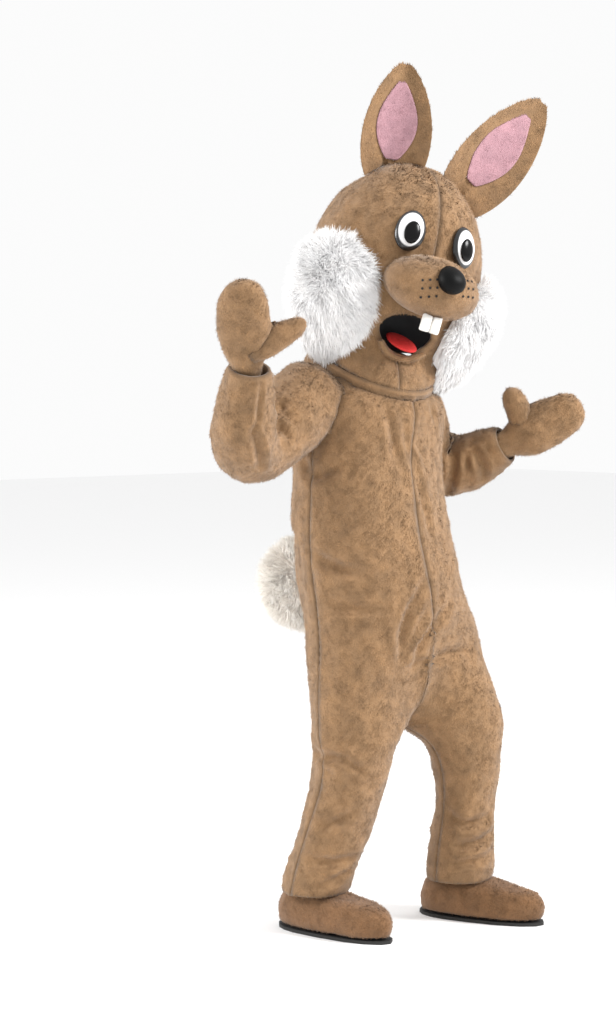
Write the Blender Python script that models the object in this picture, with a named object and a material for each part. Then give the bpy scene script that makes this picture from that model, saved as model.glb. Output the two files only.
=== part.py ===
"""Rabbit costume: a plush suit, a hollow plush head, two mitts and two shoe covers.

Every piece that a maker cuts and sews on is a solid of its own. The cloth keeps the form and the pose
that it has when it is worn, and the hollows for the wearer stay empty. Metres, +Z up, front towards -Y,
the costume's left towards +X. Heights in the tables are measured from the floor, and the parent empty
lowers everything so that the origin lies between the shoulders, where the suit hangs on the wearer.
"""
from collections import namedtuple
import math

import bpy
import bmesh
from mathutils import Matrix, Vector

# Driving sizes
SHOULDER_HEIGHT = 1.30
PLUSH = 0.006
HEAD_WALL = 0.010
GAP = 0.0003
LAID_GAP = 0.0008
STACKED_GAP = 0.0014
FORM_LAP = 0.002
POINT_MERGE = 0.00001
SLOPE_STEP = 0.002

# Suit: trunk rings, from the neck seam down
Ring = namedtuple("Ring", "height x y half_width front back tilt")
TRUNK = [
    Ring(1.325, -0.006, 0.025, 0.150, 0.145, 0.145, 0.50),
    Ring(1.295, -0.008, 0.025, 0.183, 0.152, 0.150, 0.42),
    Ring(1.245, -0.010, 0.022, 0.196, 0.155, 0.150, 0.25),
    Ring(1.180, -0.014, 0.020, 0.194, 0.150, 0.174, 0.10),
    Ring(1.100, -0.020, 0.018, 0.192, 0.150, 0.188, 0.00),
    Ring(1.014, -0.025, 0.013, 0.197, 0.160, 0.182, 0.00),
    Ring(0.930, -0.025, 0.006, 0.204, 0.172, 0.176, 0.00),
    Ring(0.870, -0.022, -0.002, 0.210, 0.179, 0.172, 0.00),
    Ring(0.780, -0.009, -0.016, 0.218, 0.176, 0.176, 0.00),
    Ring(0.680, 0.006, -0.032, 0.235, 0.165, 0.172, 0.00),
    Ring(0.480, 0.012, -0.045, 0.250, 0.150, 0.165, 0.00),
]
TRUNK_SQUARENESS = 0.92
RISE_TOP = 0.80
CROTCH_HEIGHT = 0.48
CROTCH_X = 0.010
CROTCH_Y = -0.045
SEAT_SPREAD = 2.2

# Suit: leg rings, from the hip down; skew turns a ring so that both inseams start at the crotch
Leg = namedtuple("Leg", "height x y half_width depth skew")
RIGHT_LEG = [
    Leg(0.80, -0.112, -0.030, 0.122, 0.135, -0.015),
    Leg(0.62, -0.114, -0.036, 0.122, 0.119, -0.012),
    Leg(0.48, -0.112, -0.038, 0.122, 0.104, -0.007),
    Leg(0.44, -0.129, -0.040, 0.112, 0.104, 0.0),
    Leg(0.40, -0.130, -0.039, 0.105, 0.101, 0.0),
    Leg(0.34, -0.135, -0.029, 0.098, 0.098, 0.0),
    Leg(0.25, -0.155, -0.010, 0.097, 0.097, 0.0),
    Leg(0.16, -0.178, 0.014, 0.091, 0.090, 0.0),
    Leg(0.095, -0.186, 0.026, 0.088, 0.087, 0.0),
]
LEFT_LEG = [
    Leg(0.80, 0.108, -0.045, 0.114, 0.135, 0.010),
    Leg(0.62, 0.124, -0.078, 0.119, 0.126, 0.025),
    Leg(0.48, 0.135, -0.090, 0.125, 0.116, 0.045),
    Leg(0.44, 0.160, -0.108, 0.102, 0.103, 0.015),
    Leg(0.40, 0.167, -0.118, 0.094, 0.096, 0.0),
    Leg(0.33, 0.174, -0.120, 0.085, 0.086, 0.0),
    Leg(0.25, 0.171, -0.116, 0.083, 0.084, 0.0),
    Leg(0.18, 0.168, -0.110, 0.088, 0.088, 0.0),
    Leg(0.095, 0.166, -0.104, 0.088, 0.088, 0.0),
]
LEGS = {-1: RIGHT_LEG, 1: LEFT_LEG}
TRUNK_LEVELS = [1.325, 1.30, 1.265, 1.22, 1.165, 1.11, 1.055, 1.00, 0.95, 0.90, 0.85, 0.80]
RISE_TURNS = [16, 31, 45, 58, 70, 81]
LEG_SHARES = [0.0, 0.05, 0.12, 0.20, 0.29, 0.39, 0.50, 0.61, 0.71, 0.81, 0.91, 1.0]
PANEL_COLUMNS = 6

# Suit folds: round is 0 at the front, -1 and 1 at the side seams and -2 and 2 at the back
Fold = namedtuple("Fold", "round_a height_a round_b height_b width depth")
ROUND_LENGTH = 0.30
SUIT_FOLDS = [
    Fold(-0.95, 0.88, -0.42, 0.845, 0.020, 0.014),
    Fold(-0.95, 0.92, -0.50, 0.90, 0.035, -0.008),
    Fold(-0.80, 0.775, -0.45, 0.760, 0.026, 0.008),
    Fold(0.08, 1.24, 0.10, 1.08, 0.020, 0.010),
    Fold(0.18, 1.22, 0.34, 1.02, 0.022, 0.010),
    Fold(0.12, 0.80, -0.06, 0.60, 0.024, 0.012),
    Fold(0.24, 0.78, 0.20, 0.62, 0.024, 0.010),
    Fold(0.18, 0.79, 0.08, 0.64, 0.018, -0.008),
    Fold(0.02, 0.60, 0.75, 0.665, 0.024, 0.016),
    Fold(-0.95, 1.17, -0.62, 1.145, 0.022, 0.012),
    Fold(-0.75, 0.42, -1.35, 0.43, 0.022, 0.013),
    Fold(-0.95, 0.36, -1.30, 0.34, 0.020, 0.009),
    Fold(-0.30, 0.40, -0.60, 0.385, 0.020, 0.008),
    Fold(-0.35, 0.24, -0.70, 0.22, 0.020, 0.009),
    Fold(-0.30, 0.155, -0.95, 0.165, 0.018, 0.009),
    Fold(0.25, 0.20, 0.90, 0.225, 0.018, 0.011),
    Fold(0.30, 0.285, 0.95, 0.265, 0.020, 0.009),
    Fold(0.35, 0.165, 0.85, 0.17, 0.016, 0.007),
    Fold(-1.85, 1.12, -1.20, 1.06, 0.026, 0.012),
    Fold(1.85, 1.10, 1.25, 1.03, 0.026, 0.012),
    Fold(-1.80, 0.93, -1.15, 0.90, 0.026, 0.012),
    Fold(1.75, 0.95, 1.10, 0.91, 0.026, 0.011),
    Fold(-1.60, 0.66, -1.15, 0.60, 0.026, 0.012),
    Fold(1.60, 0.64, 1.15, 0.59, 0.026, 0.012),
    Fold(1.30, 0.40, 1.80, 0.42, 0.022, 0.012),
    Fold(1.25, 0.30, 1.75, 0.27, 0.022, 0.010),
    Fold(-1.30, 0.22, -1.80, 0.20, 0.020, 0.009),
    Fold(1.20, 0.17, 1.75, 0.18, 0.018, 0.009),
]

# Sleeves: straight upper arm, round elbow, straight forearm; the radius runs from shoulder to wrist
Arm = namedtuple("Arm", "side start elbow wrist bend radii")
Girth = namedtuple("Girth", "share radius")
ARMS = [
    Arm("right", (-0.150, 0.045, 1.296), (-0.444, 0.006, 1.088), (-0.498, -0.100, 1.328), 0.088,
        [Girth(0.0, 0.045), Girth(0.035, 0.074), Girth(0.08, 0.093), Girth(0.25, 0.095), Girth(0.45, 0.084),
         Girth(0.6, 0.081), Girth(0.75, 0.080), Girth(0.9, 0.064), Girth(1.0, 0.053)]),
    Arm("left", (0.150, 0.045, 1.272), (0.243, 0.080, 1.052), (0.317, -0.110, 1.143), 0.080,
        [Girth(0.0, 0.038), Girth(0.05, 0.058), Girth(0.12, 0.072), Girth(0.3, 0.081), Girth(0.45, 0.084),
         Girth(0.6, 0.085), Girth(0.75, 0.078), Girth(0.9, 0.060), Girth(1.0, 0.053)]),
]
SLEEVE_ROWS = 18
SLEEVE_SPACING = 1.25
SLEEVE_COLUMNS = 16
# Sleeve folds: share of the length and angle in degrees, 0 in the crook of the elbow
SleeveFold = namedtuple("SleeveFold", "share_a angle_a share_b angle_b width depth")
SLEEVE_FOLDS = [
    SleeveFold(0.50, -70, 0.49, 60, 0.016, 0.012),
    SleeveFold(0.62, -60, 0.63, 75, 0.015, 0.012),
    SleeveFold(0.74, -50, 0.70, 80, 0.016, 0.009),
    SleeveFold(0.38, -75, 0.36, 40, 0.018, 0.009),
    SleeveFold(0.84, 20, 0.80, 120, 0.014, 0.006),
    SleeveFold(0.30, 120, 0.34, 210, 0.018, 0.007),
]

# Neck band, back closure and tail
BAND_HEIGHT = 0.022
BAND_WALL = 0.009
BAND_SWELL = 0.003
BAND_COLUMNS = 28
PLACKET_TOP, PLACKET_FOOT = 1.30, 0.98
PLACKET_SHARE = 0.09
PLACKET_THICK = 0.003
TAIL_CENTRE = (-0.018, 0.272, 0.799)
TAIL_RADIUS = 0.121

# Mitts: a bag from wrist to tip with a thumb set in its side
Mitt = namedtuple("Mitt", "side wrist tip thumb_root thumb_tip palm")
MITTS = [
    Mitt("right", (-0.4886, -0.0805, 1.2892), (-0.5786, -0.1705, 1.5192),
         (-0.5156, -0.1285, 1.3642), (-0.4226, -0.2105, 1.4312), (-0.70, -0.71, -0.10)),
    Mitt("left", (0.2855, -0.0840, 1.1242), (0.4495, -0.2470, 1.2422),
         (0.3455, -0.1490, 1.1782), (0.3005, -0.1330, 1.2842), (-0.70, -0.71, 0.0)),
]
Bag = namedtuple("Bag", "share half_width half_depth")
MITT_BAG = [Bag(0.0, 0.035, 0.033), Bag(0.18, 0.037, 0.034), Bag(0.34, 0.056, 0.038), Bag(0.5, 0.064, 0.040),
            Bag(0.7, 0.066, 0.040), Bag(0.86, 0.056, 0.036), Bag(0.96, 0.034, 0.024), Bag(1.0, 0.0, 0.0)]
MITT_COLUMNS = 14
THUMB_BAG = [Bag(0.0, 0.034, 0.029), Bag(0.4, 0.036, 0.030), Bag(0.75, 0.033, 0.028),
             Bag(0.93, 0.019, 0.017), Bag(1.0, 0.0, 0.0)]
THUMB_COLUMNS = 10

# Shoe covers: level rings measured from the ankle, and a flat sole
Shoe = namedtuple("Shoe", "height toe heel half_width")
SHOE_RINGS = [
    Shoe(0.0080, 0.216, 0.105, 0.060),
    Shoe(0.028, 0.228, 0.111, 0.068),
    Shoe(0.054, 0.226, 0.109, 0.068),
    Shoe(0.074, 0.208, 0.102, 0.063),
    Shoe(0.087, 0.166, 0.093, 0.055),
    Shoe(0.0945, 0.108, 0.080, 0.050),
    Shoe(0.0947, 0.078, 0.070, 0.048),
    Shoe(0.110, 0.062, 0.064, 0.047),
    Shoe(0.140, 0.058, 0.060, 0.046),
]
SHOE_COLUMNS = 18
SOLE_THICK = 0.0077
SOLE_EDGE = 0.001
# Ankle place on the floor and the turn of the foot about it, in degrees
Foot = namedtuple("Foot", "side x y turn")
FEET = [Foot("right", -0.180, 0.028, 9.0), Foot("left", 0.174, -0.102, 20.0)]

# Head: an egg on its own axes, x to its left, -y to its face, z up
HEAD_PLACE = (0.055, 0.015, 1.560)
HEAD_TURN, HEAD_NOD, HEAD_LEAN = -19.0, 7.0, 15.0
CROWN = 0.264
CHIN_SCALE = 0.31
HEAD_HALF_WIDTH = 0.219
HEAD_FRONT = 0.200
HEAD_BACK = 0.215
HEAD_TURNS = [0, 14, 28, 42, 56, 70, 83, 95, 106, 115]
HEAD_NECK_SLANT = 0.12
HEAD_COLUMNS = 12
HEAD_RADIUS = 0.20

# Pads on the head: middle by angle from the face and height, half sizes, rise, edge rise and roundness
Pad = namedtuple("Pad", "angle height half_width half_height rise edge roundness")
CHEEK = Pad(63.0, -0.106, 0.127, 0.156, 0.058, 0.010, 2.2)
MUZZLE = Pad(0.0, -0.021, 0.106, 0.071, 0.104, 0.006, 2.6)
NOSE = Pad(0.0, 0.002, 0.022, 0.026, 0.030, 0.003, 2.0)
EYE = Pad(20.5, 0.090, 0.036, 0.049, 0.012, 0.004, 2.2)
PUPIL = Pad(19.5, 0.083, 0.018, 0.026, 0.004, 0.002, 2.2)

# Mouth: an oval opening with a bowl behind it, a lip under it, a tongue and two teeth
MOUTH_PLACE = (0.0, -0.174, -0.141)
MOUTH_TILT = 20.0
MOUTH_HALF_WIDTH, MOUTH_HALF_HEIGHT, MOUTH_DEPTH = 0.074, 0.050, 0.078
BOWL_WALL = 0.004
MOUTH_COLUMNS = 16
MOUTH_TURNS = [0, 22, 44, 62, 78, 102, 118, 136, 158, 180]
BOWL_TURNS = [0, 22, 44, 62, 78]
LIP_RADIUS = 0.014
LIP_SPREAD = 64
LIP_STEPS, LIP_SIDES = 14, 10
LIP_OUT = 0.006
LIP_LIFT = 0.35
TOOTH_WIDTH, TOOTH_HEIGHT, TOOTH_THICK = 0.024, 0.052, 0.012
TOOTH_PLACE = (0.0128, -0.270, -0.098)
TONGUE_SIZE = (0.040, 0.0490, 0.010)
TONGUE_PLACE = (0.0, 0.014, -0.026)

# Ears: leaf outline, cupped forwards, with a lining panel in the cup
Ear = namedtuple("Ear", "side base tip half_width facing")
EARS = [
    Ear("right", (-0.082, 0.0, 0.190), (-0.118, 0.015, 0.478), 0.084, (-0.30, -1.0, 0.0)),
    Ear("left", (0.096, 0.0, 0.196), (0.262, 0.015, 0.506), 0.086, (-0.10, -1.0, 0.15)),
]
EAR_ROWS = [0.0, 0.12, 0.24, 0.38, 0.53, 0.68, 0.82, 0.93, 0.985]
EAR_COLUMNS = [-1.0, -0.82, -0.55, -0.28, 0.0, 0.28, 0.55, 0.82, 1.0]
EAR_CUP = 0.030
EAR_THICK = 0.020
EAR_LINING = 0.003
EAR_EDGE = 0.002
LINING_ROWS, LINING_COLUMNS = 8, 6
LINING_FOOT, LINING_TOP = 0.20, 0.84
LINING_WIDTH = 0.62
LINING_GAP = 0.0016

# Finishes: colour as seen, roughness, metallic
Finish = namedtuple("Finish", "red green blue roughness metallic")
TAN = Finish(0.74, 0.58, 0.42, 0.95, 0.0)
SHOE_TAN = Finish(0.66, 0.48, 0.32, 0.95, 0.0)
WHITE_FUR = Finish(0.93, 0.93, 0.94, 0.95, 0.0)
TAIL_FUR = Finish(0.88, 0.85, 0.81, 0.95, 0.0)
PINK = Finish(0.78, 0.55, 0.63, 0.95, 0.0)
BLACK = Finish(0.02, 0.02, 0.02, 0.45, 0.0)
SOLE_BLACK = Finish(0.05, 0.05, 0.05, 0.80, 0.0)
RED = Finish(0.84, 0.16, 0.18, 0.70, 0.0)
TOOTH_WHITE = Finish(0.93, 0.92, 0.88, 0.40, 0.0)
EYE_WHITE = Finish(0.95, 0.95, 0.95, 0.30, 0.0)


def smooth_row(rows, place):
    """A row between those of a table, on a smooth curve through each column."""
    down = rows[0][0] > rows[-1][0]
    low, high = sorted((rows[0][0], rows[-1][0]))
    place = min(max(place, low), high)
    last = len(rows) - 2
    i = 0
    while i < last and (place < rows[i + 1][0] if down else place > rows[i + 1][0]):
        i += 1
    before, a, b, after = rows[max(i - 1, 0)], rows[i], rows[i + 1], rows[min(i + 2, last + 1)]
    span = b[0] - a[0]
    s = (place - a[0]) / span
    values = [place]
    for k in range(1, len(a)):
        slope_a = (b[k] - before[k]) / (b[0] - before[0]) * span
        slope_b = (after[k] - a[k]) / (after[0] - a[0]) * span
        values.append((2 * s**3 - 3 * s**2 + 1) * a[k] + (s**3 - 2 * s**2 + s) * slope_a
                      + (3 * s**2 - 2 * s**3) * b[k] + (s**3 - s**2) * slope_b)
    return type(a)(*values)


def fold_push(rows, along, across, scale):
    """How far the folds push a point in: rows of two ends, a width and a depth, ends faded out."""
    push = 0.0
    for across_a, along_a, across_b, along_b, width, depth in rows:
        a = Vector((across_a * scale, along_a))
        b = Vector((across_b * scale, along_b))
        p = Vector((across * scale, along))
        run = b - a
        share = (p - a).dot(run) / run.length_squared
        held = min(max(share, 0.0), 1.0)
        distance = (p - a - run * held).length
        fade = 0.35 + 0.65 * math.sin(math.pi * held) ** 0.6
        push += depth * fade * math.exp(-(distance / width) ** 2)
    return push


def add_faces(shape, grid, ring, turned):
    """Triangles over a grid of vertices, with the same diagonal everywhere."""
    columns = len(grid[0])
    for upper, lower in zip(grid, grid[1:]):
        for j in range(columns if ring else columns - 1):
            k = (j + 1) % columns
            for corners in ((upper[j], upper[k], lower[k]), (upper[j], lower[k], lower[j])):
                if len({corner.co.to_tuple(6) for corner in corners}) == 3:
                    shape.faces.new(reversed(corners) if turned else corners)


def wall_shape(outer, inner, ring=False):
    """A closed wall between two grids of points; a ring's rows are closed loops."""
    shape = bmesh.new()
    outside = [[shape.verts.new(p) for p in row] for row in outer]
    inside = [[shape.verts.new(p) for p in row] for row in inner]
    add_faces(shape, outside, ring, False)
    add_faces(shape, inside, ring, True)
    rims = [[inside[0], outside[0]], [outside[-1], inside[-1]]]
    for rim in rims:
        add_faces(shape, rim, ring, False)
    if not ring:
        for side, turned in ((0, False), (-1, True)):
            add_faces(shape, [[row[side] for row in outside], [row[side] for row in inside]], False, turned)
    return shape


def loft_shape(rows):
    """A closed solid through closed loops; an end loop is filled, or is a point."""
    shape = bmesh.new()
    grid = [[shape.verts.new(p) for p in row] for row in rows]
    add_faces(shape, grid, True, False)
    for end in (grid[0], grid[-1]):
        if (end[0].co - end[len(end) // 2].co).length > POINT_MERGE:
            shape.faces.new(end)
    return shape


def material(name, finish):
    """A plain Principled material of this finish, made once."""
    made = bpy.data.materials.get(name)
    if made is None:
        made = bpy.data.materials.new(name)
        made.use_nodes = True
        shader = made.node_tree.nodes["Principled BSDF"]
        linear = [value ** 2.2 for value in (finish.red, finish.green, finish.blue)]
        shader.inputs["Base Color"].default_value = (*linear, 1.0)
        shader.inputs["Roughness"].default_value = finish.roughness
        shader.inputs["Metallic"].default_value = finish.metallic
    return made


def piece(name, shape, finish, parent):
    """An object from a bmesh, welded, with its faces turned out and its own material."""
    bmesh.ops.remove_doubles(shape, verts=shape.verts, dist=POINT_MERGE)
    bmesh.ops.recalc_face_normals(shape, faces=shape.faces)
    mesh = bpy.data.meshes.new(name)
    shape.to_mesh(mesh)
    shape.free()
    mesh.shade_smooth()
    mesh.set_sharp_from_angle(angle=math.radians(50))
    made = bpy.data.objects.new(name, mesh)
    made.parent = parent
    bpy.context.collection.objects.link(made)
    if finish:
        mesh.materials.append(material(name + "_finish", finish))
    return made


def cutter(name, shape, parent):
    """A shape that only cuts: it isn't rendered and isn't a piece."""
    made = piece(name, shape, None, parent)
    made.hide_render = True
    made.display_type = 'WIRE'
    return made


def cut(target, tool):
    """Take the tool's form out of the target."""
    change = target.modifiers.new("cut_" + tool.name, 'BOOLEAN')
    change.operation = 'DIFFERENCE'
    change.solver = 'EXACT'
    change.object = tool


# Suit surface

def trunk_point(side, face, across, level):
    """A quarter of the trunk, from the centre line (0) to the side seam (1)."""
    row = smooth_row(TRUNK, level)
    turn = math.radians(90 * across)
    reach = row.front if face < 0 else row.back
    x = row.x + side * row.half_width * math.sin(turn) ** TRUNK_SQUARENESS
    y = row.y + face * reach * max(math.cos(turn), 0.0) ** TRUNK_SQUARENESS
    return Vector((x, y, level + row.tilt * (y - row.y)))


def leg_point(side, face, across, level):
    """Half of a leg, from the inseam (0) to the side seam (1)."""
    row = smooth_row(LEGS[side], level)
    turn = math.radians(180 * across)
    x = row.x - side * row.half_width * math.cos(turn)
    y = row.y + row.skew * math.cos(turn) + face * row.depth * math.sin(turn)
    inner_shift = Vector((0.0, 0.0, 0.0))
    if level > CROTCH_HEIGHT:
        inner_shift.x = CROTCH_X - (row.x - side * row.half_width)
        inner_shift.y = CROTCH_Y - (row.y + row.skew)
    return Vector((x, y, level)) + inner_shift * (1 - across) ** 2


def plain_point(side, face, across, level):
    """The suit without folds: trunk, legs, and the seat curve that joins them."""
    if level >= RISE_TOP:
        return trunk_point(side, face, across, level)
    if level <= CROTCH_HEIGHT:
        return leg_point(side, face, across, level)
    drop = (RISE_TOP - level) / (RISE_TOP - CROTCH_HEIGHT)
    seat_share = 1 - math.sqrt(max(1 - drop * drop, 0.0))
    side_share = drop * drop * (3 - 2 * drop)
    share = seat_share + (side_share - seat_share) * math.sin(math.pi / 2 * min(SEAT_SPREAD * across, 1.0))
    return trunk_point(side, face, across, level).lerp(leg_point(side, face, across, level), share)


def suit_normal(side, face, across, level):
    """The outward normal; at a seam it lies in the seam's plane, so both pieces agree."""
    a = max(across - SLOPE_STEP, 0.0)
    b = min(across + SLOPE_STEP, 1.0)
    middle = min(max(across, SLOPE_STEP), 1.0 - SLOPE_STEP)
    along = plain_point(side, face, b, level) - plain_point(side, face, a, level)
    rise = (plain_point(side, face, middle, level + SLOPE_STEP)
            - plain_point(side, face, middle, level - SLOPE_STEP))
    normal = along.cross(rise) * (side * -face)
    if across == 0.0 and level > CROTCH_HEIGHT:
        normal.x = 0.0
    if across == 0.0 and level <= CROTCH_HEIGHT or across == 1.0:
        normal.y = 0.0
    if across == 0.0 and level == CROTCH_HEIGHT:
        normal = Vector((0.0, 0.0, -1.0))
    if level == TRUNK[0].height:
        neck_normal = Vector((0.0, -TRUNK[0].tilt, 1.0)).normalized()
        normal -= neck_normal * normal.dot(neck_normal)
    return normal.normalized()


def suit_point(side, face, across, level, lift=0.0):
    """A point of the suit's outer face with its folds, lifted out by the given distance."""
    around = side * across if face < 0 else side * (2 - across)
    push = fold_push(SUIT_FOLDS, level, around, ROUND_LENGTH)
    shift = Vector((side * GAP / 2, face * GAP / 2, 0.0))
    normal = suit_normal(side, face, across, level)
    return plain_point(side, face, across, level) + normal * (lift - push) + shift


def suit_levels(side):
    """Row heights of a panel, closer together at the seat."""
    rise = [RISE_TOP - (RISE_TOP - CROTCH_HEIGHT) * math.sin(math.radians(turn)) for turn in RISE_TURNS]
    hem = LEGS[side][-1].height
    leg = [CROTCH_HEIGHT - share * (CROTCH_HEIGHT - hem) for share in LEG_SHARES]
    return TRUNK_LEVELS + rise + leg


def make_panel(name, side, face, parent):
    """A front or back panel of the suit, from the neck seam to the hem of one leg."""
    shares = [j / PANEL_COLUMNS for j in range(PANEL_COLUMNS + 1)]
    if side != face:
        shares.reverse()
    outer, inner = [[[suit_point(side, face, share, level, lift) for share in shares]
                     for level in suit_levels(side)] for lift in (0.0, -PLUSH)]
    return piece(name, wall_shape(outer, inner), TAN, parent)


def body_loop(level, lift):
    """A closed loop round the trunk, on the panels' own points."""
    shares = [j / PANEL_COLUMNS for j in range(PANEL_COLUMNS + 1)]
    loop = []
    for side, face in ((-1, -1), (-1, 1), (1, 1), (1, -1)):
        run = shares if side == face else reversed(shares)
        loop += [suit_point(side, face, share, level, lift) for share in run]
    return loop


def make_placket(parent):
    """The strip over the back closure, laid on the points of both back panels."""
    levels = [level for level in TRUNK_LEVELS if PLACKET_FOOT < level < PLACKET_TOP]
    outer, inner = [], []
    for level in levels:
        sides = [(-1, PLACKET_SHARE), (-1, 0.0), (1, 0.0), (1, PLACKET_SHARE)]
        inner.append([suit_point(side, 1, share, level, LAID_GAP) for side, share in sides])
        outer.append([suit_point(side, 1, share, level, LAID_GAP + PLACKET_THICK) for side, share in sides])
    return piece("back_placket", wall_shape(outer, inner), TAN, parent)


def neck_point(turn, lift, grow):
    """A point of the neck seam's ellipse, raised square to its plane and grown outwards."""
    row = TRUNK[0]
    normal = Vector((0.0, -row.tilt, 1.0)).normalized()
    x = (row.half_width + grow) * math.sin(turn)
    y = -(row.front + grow) * math.cos(turn)
    return Vector((row.x + x, row.y + y, row.height + row.tilt * y)) + normal * lift


def band_rows(grow, spare=0.0):
    """Loops of the neck band's outer face, swelling a little at half height."""
    turns = [2 * math.pi * j / BAND_COLUMNS for j in range(BAND_COLUMNS)]
    stations = [(2 * GAP - spare, 0.0), (BAND_HEIGHT / 2, BAND_SWELL), (BAND_HEIGHT + spare, 0.0)]
    return [[neck_point(turn, lift, swell + grow) for turn in turns] for lift, swell in stations]


def make_band(parent):
    """The neck band, a ring on the top edge of the four panels, and its form for cutting."""
    piece("neck_band", wall_shape(band_rows(0.0), band_rows(-BAND_WALL), ring=True), TAN, parent)
    return cutter("band_form", loft_shape(band_rows(GAP, FORM_LAP)), parent)


# Sleeves

def arm_frames(arm, rows):
    """Places along the sleeve with the directions towards the crook and across the bend."""
    start, elbow, wrist = Vector(arm.start), Vector(arm.elbow), Vector(arm.wrist)
    first, second = (elbow - start).normalized(), (wrist - elbow).normalized()
    turn = first.angle(second)
    across = first.cross(second).normalized()
    reach = arm.bend * math.tan(turn / 2)
    arc_start = elbow - first * reach
    inward = across.cross(first).normalized()
    pivot = arc_start + inward * arm.bend
    runs = [(arc_start - start).length, arm.bend * turn, (wrist - elbow).length - reach]
    frames = []
    for i in range(rows):
        share = (i / (rows - 1)) ** SLEEVE_SPACING
        s = share * sum(runs)
        if s <= runs[0]:
            frames.append((share, start + first * s, inward, across))
        elif s <= runs[0] + runs[1]:
            spin = Matrix.Rotation((s - runs[0]) / arm.bend, 3, across)
            frames.append((share, pivot - spin @ inward * arm.bend, spin @ inward, across))
        else:
            spin = Matrix.Rotation(turn, 3, across)
            middle = elbow + second * (reach + s - runs[0] - runs[1])
            frames.append((share, middle, spin @ inward, across))
    return frames, sum(runs)


def sleeve_rows(arm, lift):
    """Closed loops of the sleeve's outer face with its folds, lifted by the given distance."""
    frames, length = arm_frames(arm, SLEEVE_ROWS)
    rows = []
    for share, middle, inward, across in frames:
        radius = smooth_row(arm.radii, share).radius
        loop = []
        for j in range(SLEEVE_COLUMNS):
            angle = 360 * j / SLEEVE_COLUMNS
            near = angle if angle <= 220 else angle - 360
            folds = [(math.radians(f.angle_a) * radius, f.share_a * length, math.radians(f.angle_b) * radius,
                      f.share_b * length, f.width, f.depth) for f in SLEEVE_FOLDS]
            push = fold_push(folds, share * length, math.radians(near) * radius, 1.0)
            spin = math.radians(angle)
            out = inward * math.cos(spin) + across * math.sin(spin)
            loop.append(middle + out * (radius - push + lift))
        rows.append(loop)
    return rows


def make_sleeves(trunk_form, panels, parent):
    """Each sleeve ends on the trunk's outer face, and the panels are open inside it."""
    sleeve_forms = {}
    for arm in ARMS:
        sleeve = piece("sleeve_" + arm.side,
                       wall_shape(sleeve_rows(arm, 0.0), sleeve_rows(arm, -PLUSH), ring=True), TAN, parent)
        cut(sleeve, trunk_form)
        hollow = cutter("armhole_" + arm.side, loft_shape(sleeve_rows(arm, -PLUSH)), parent)
        for panel in panels[arm.side]:
            cut(panel, hollow)
        sleeve_forms[arm.side] = cutter("sleeve_form_" + arm.side, loft_shape(sleeve_rows(arm, GAP)), parent)
    return sleeve_forms


def make_tail(trunk_form, parent):
    """A stuffed ball sewn flat to the back seam."""
    shape = bmesh.new()
    bmesh.ops.create_uvsphere(shape, u_segments=14, v_segments=9, radius=TAIL_RADIUS,
                              matrix=Matrix.Translation(TAIL_CENTRE))
    cut(piece("tail", shape, TAIL_FUR, parent), trunk_form)


# Mitts

def bag_rows(start, end, palm, table, columns, shares, lift):
    """Oval loops from start to end, flat towards the palm; the last one closes to a point."""
    start, end = Vector(start), Vector(end)
    axis = (end - start).normalized()
    deep = Vector(palm)
    deep = (deep - axis * deep.dot(axis)).normalized()
    wide = axis.cross(deep)
    rows = []
    for share in shares:
        size = smooth_row(table, share)
        closed = share == shares[-1] and table[-1].half_width == 0.0
        middle = start.lerp(end, share) + axis * (lift if closed else 0.0)
        width = 0.0 if closed else size.half_width + lift
        depth = 0.0 if closed else size.half_depth + lift
        loop = []
        for j in range(columns):
            spin = 2 * math.pi * j / columns
            loop.append(middle + wide * (width * math.cos(spin)) + deep * (depth * math.sin(spin)))
        rows.append(loop)
    return rows


def make_mitts(parent):
    """Each mitt is a hollow bag with a hollow thumb set on its side over an opening."""
    bag_shares = [0.0, 0.10, 0.18, 0.26, 0.36, 0.50, 0.66, 0.80, 0.91, 0.97, 1.0]
    thumb_shares = [0.0, 0.3, 0.6, 0.82, 0.95, 1.0]
    for mitt in MITTS:
        def hand(lift):
            return bag_rows(mitt.wrist, mitt.tip, mitt.palm, MITT_BAG, MITT_COLUMNS, bag_shares, lift)

        def thumb(lift):
            return bag_rows(mitt.thumb_root, mitt.thumb_tip, mitt.palm, THUMB_BAG, THUMB_COLUMNS,
                            thumb_shares, lift)

        bag = piece("mitt_" + mitt.side, wall_shape(hand(0.0), hand(-PLUSH), ring=True), TAN, parent)
        tube = piece("thumb_" + mitt.side, wall_shape(thumb(0.0), thumb(-PLUSH), ring=True), TAN, parent)
        cut(tube, cutter("mitt_form_" + mitt.side, loft_shape(hand(GAP)), parent))
        cut(bag, cutter("thumb_form_" + mitt.side, loft_shape(thumb(-PLUSH)), parent))


# Shoe covers

def shoe_loop(foot, ring, lift):
    """A level loop: long oval with its widest part ahead of the ankle."""
    turn = math.radians(foot.turn)
    loop = []
    for j in range(SHOE_COLUMNS):
        spin = 2 * math.pi * j / SHOE_COLUMNS
        reach = (ring.toe if math.cos(spin) > 0 else ring.heel) + lift
        ahead = reach * abs(math.cos(spin)) ** 0.86 * math.copysign(1.0, math.cos(spin))
        aside = (ring.half_width + lift) * math.sin(spin) * (1 + 0.10 * max(math.cos(spin), 0.0))
        x = foot.x + aside * math.cos(turn) + ahead * math.sin(turn)
        y = foot.y + aside * math.sin(turn) - ahead * math.cos(turn)
        loop.append(Vector((x, y, ring.height)))
    return loop


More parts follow.
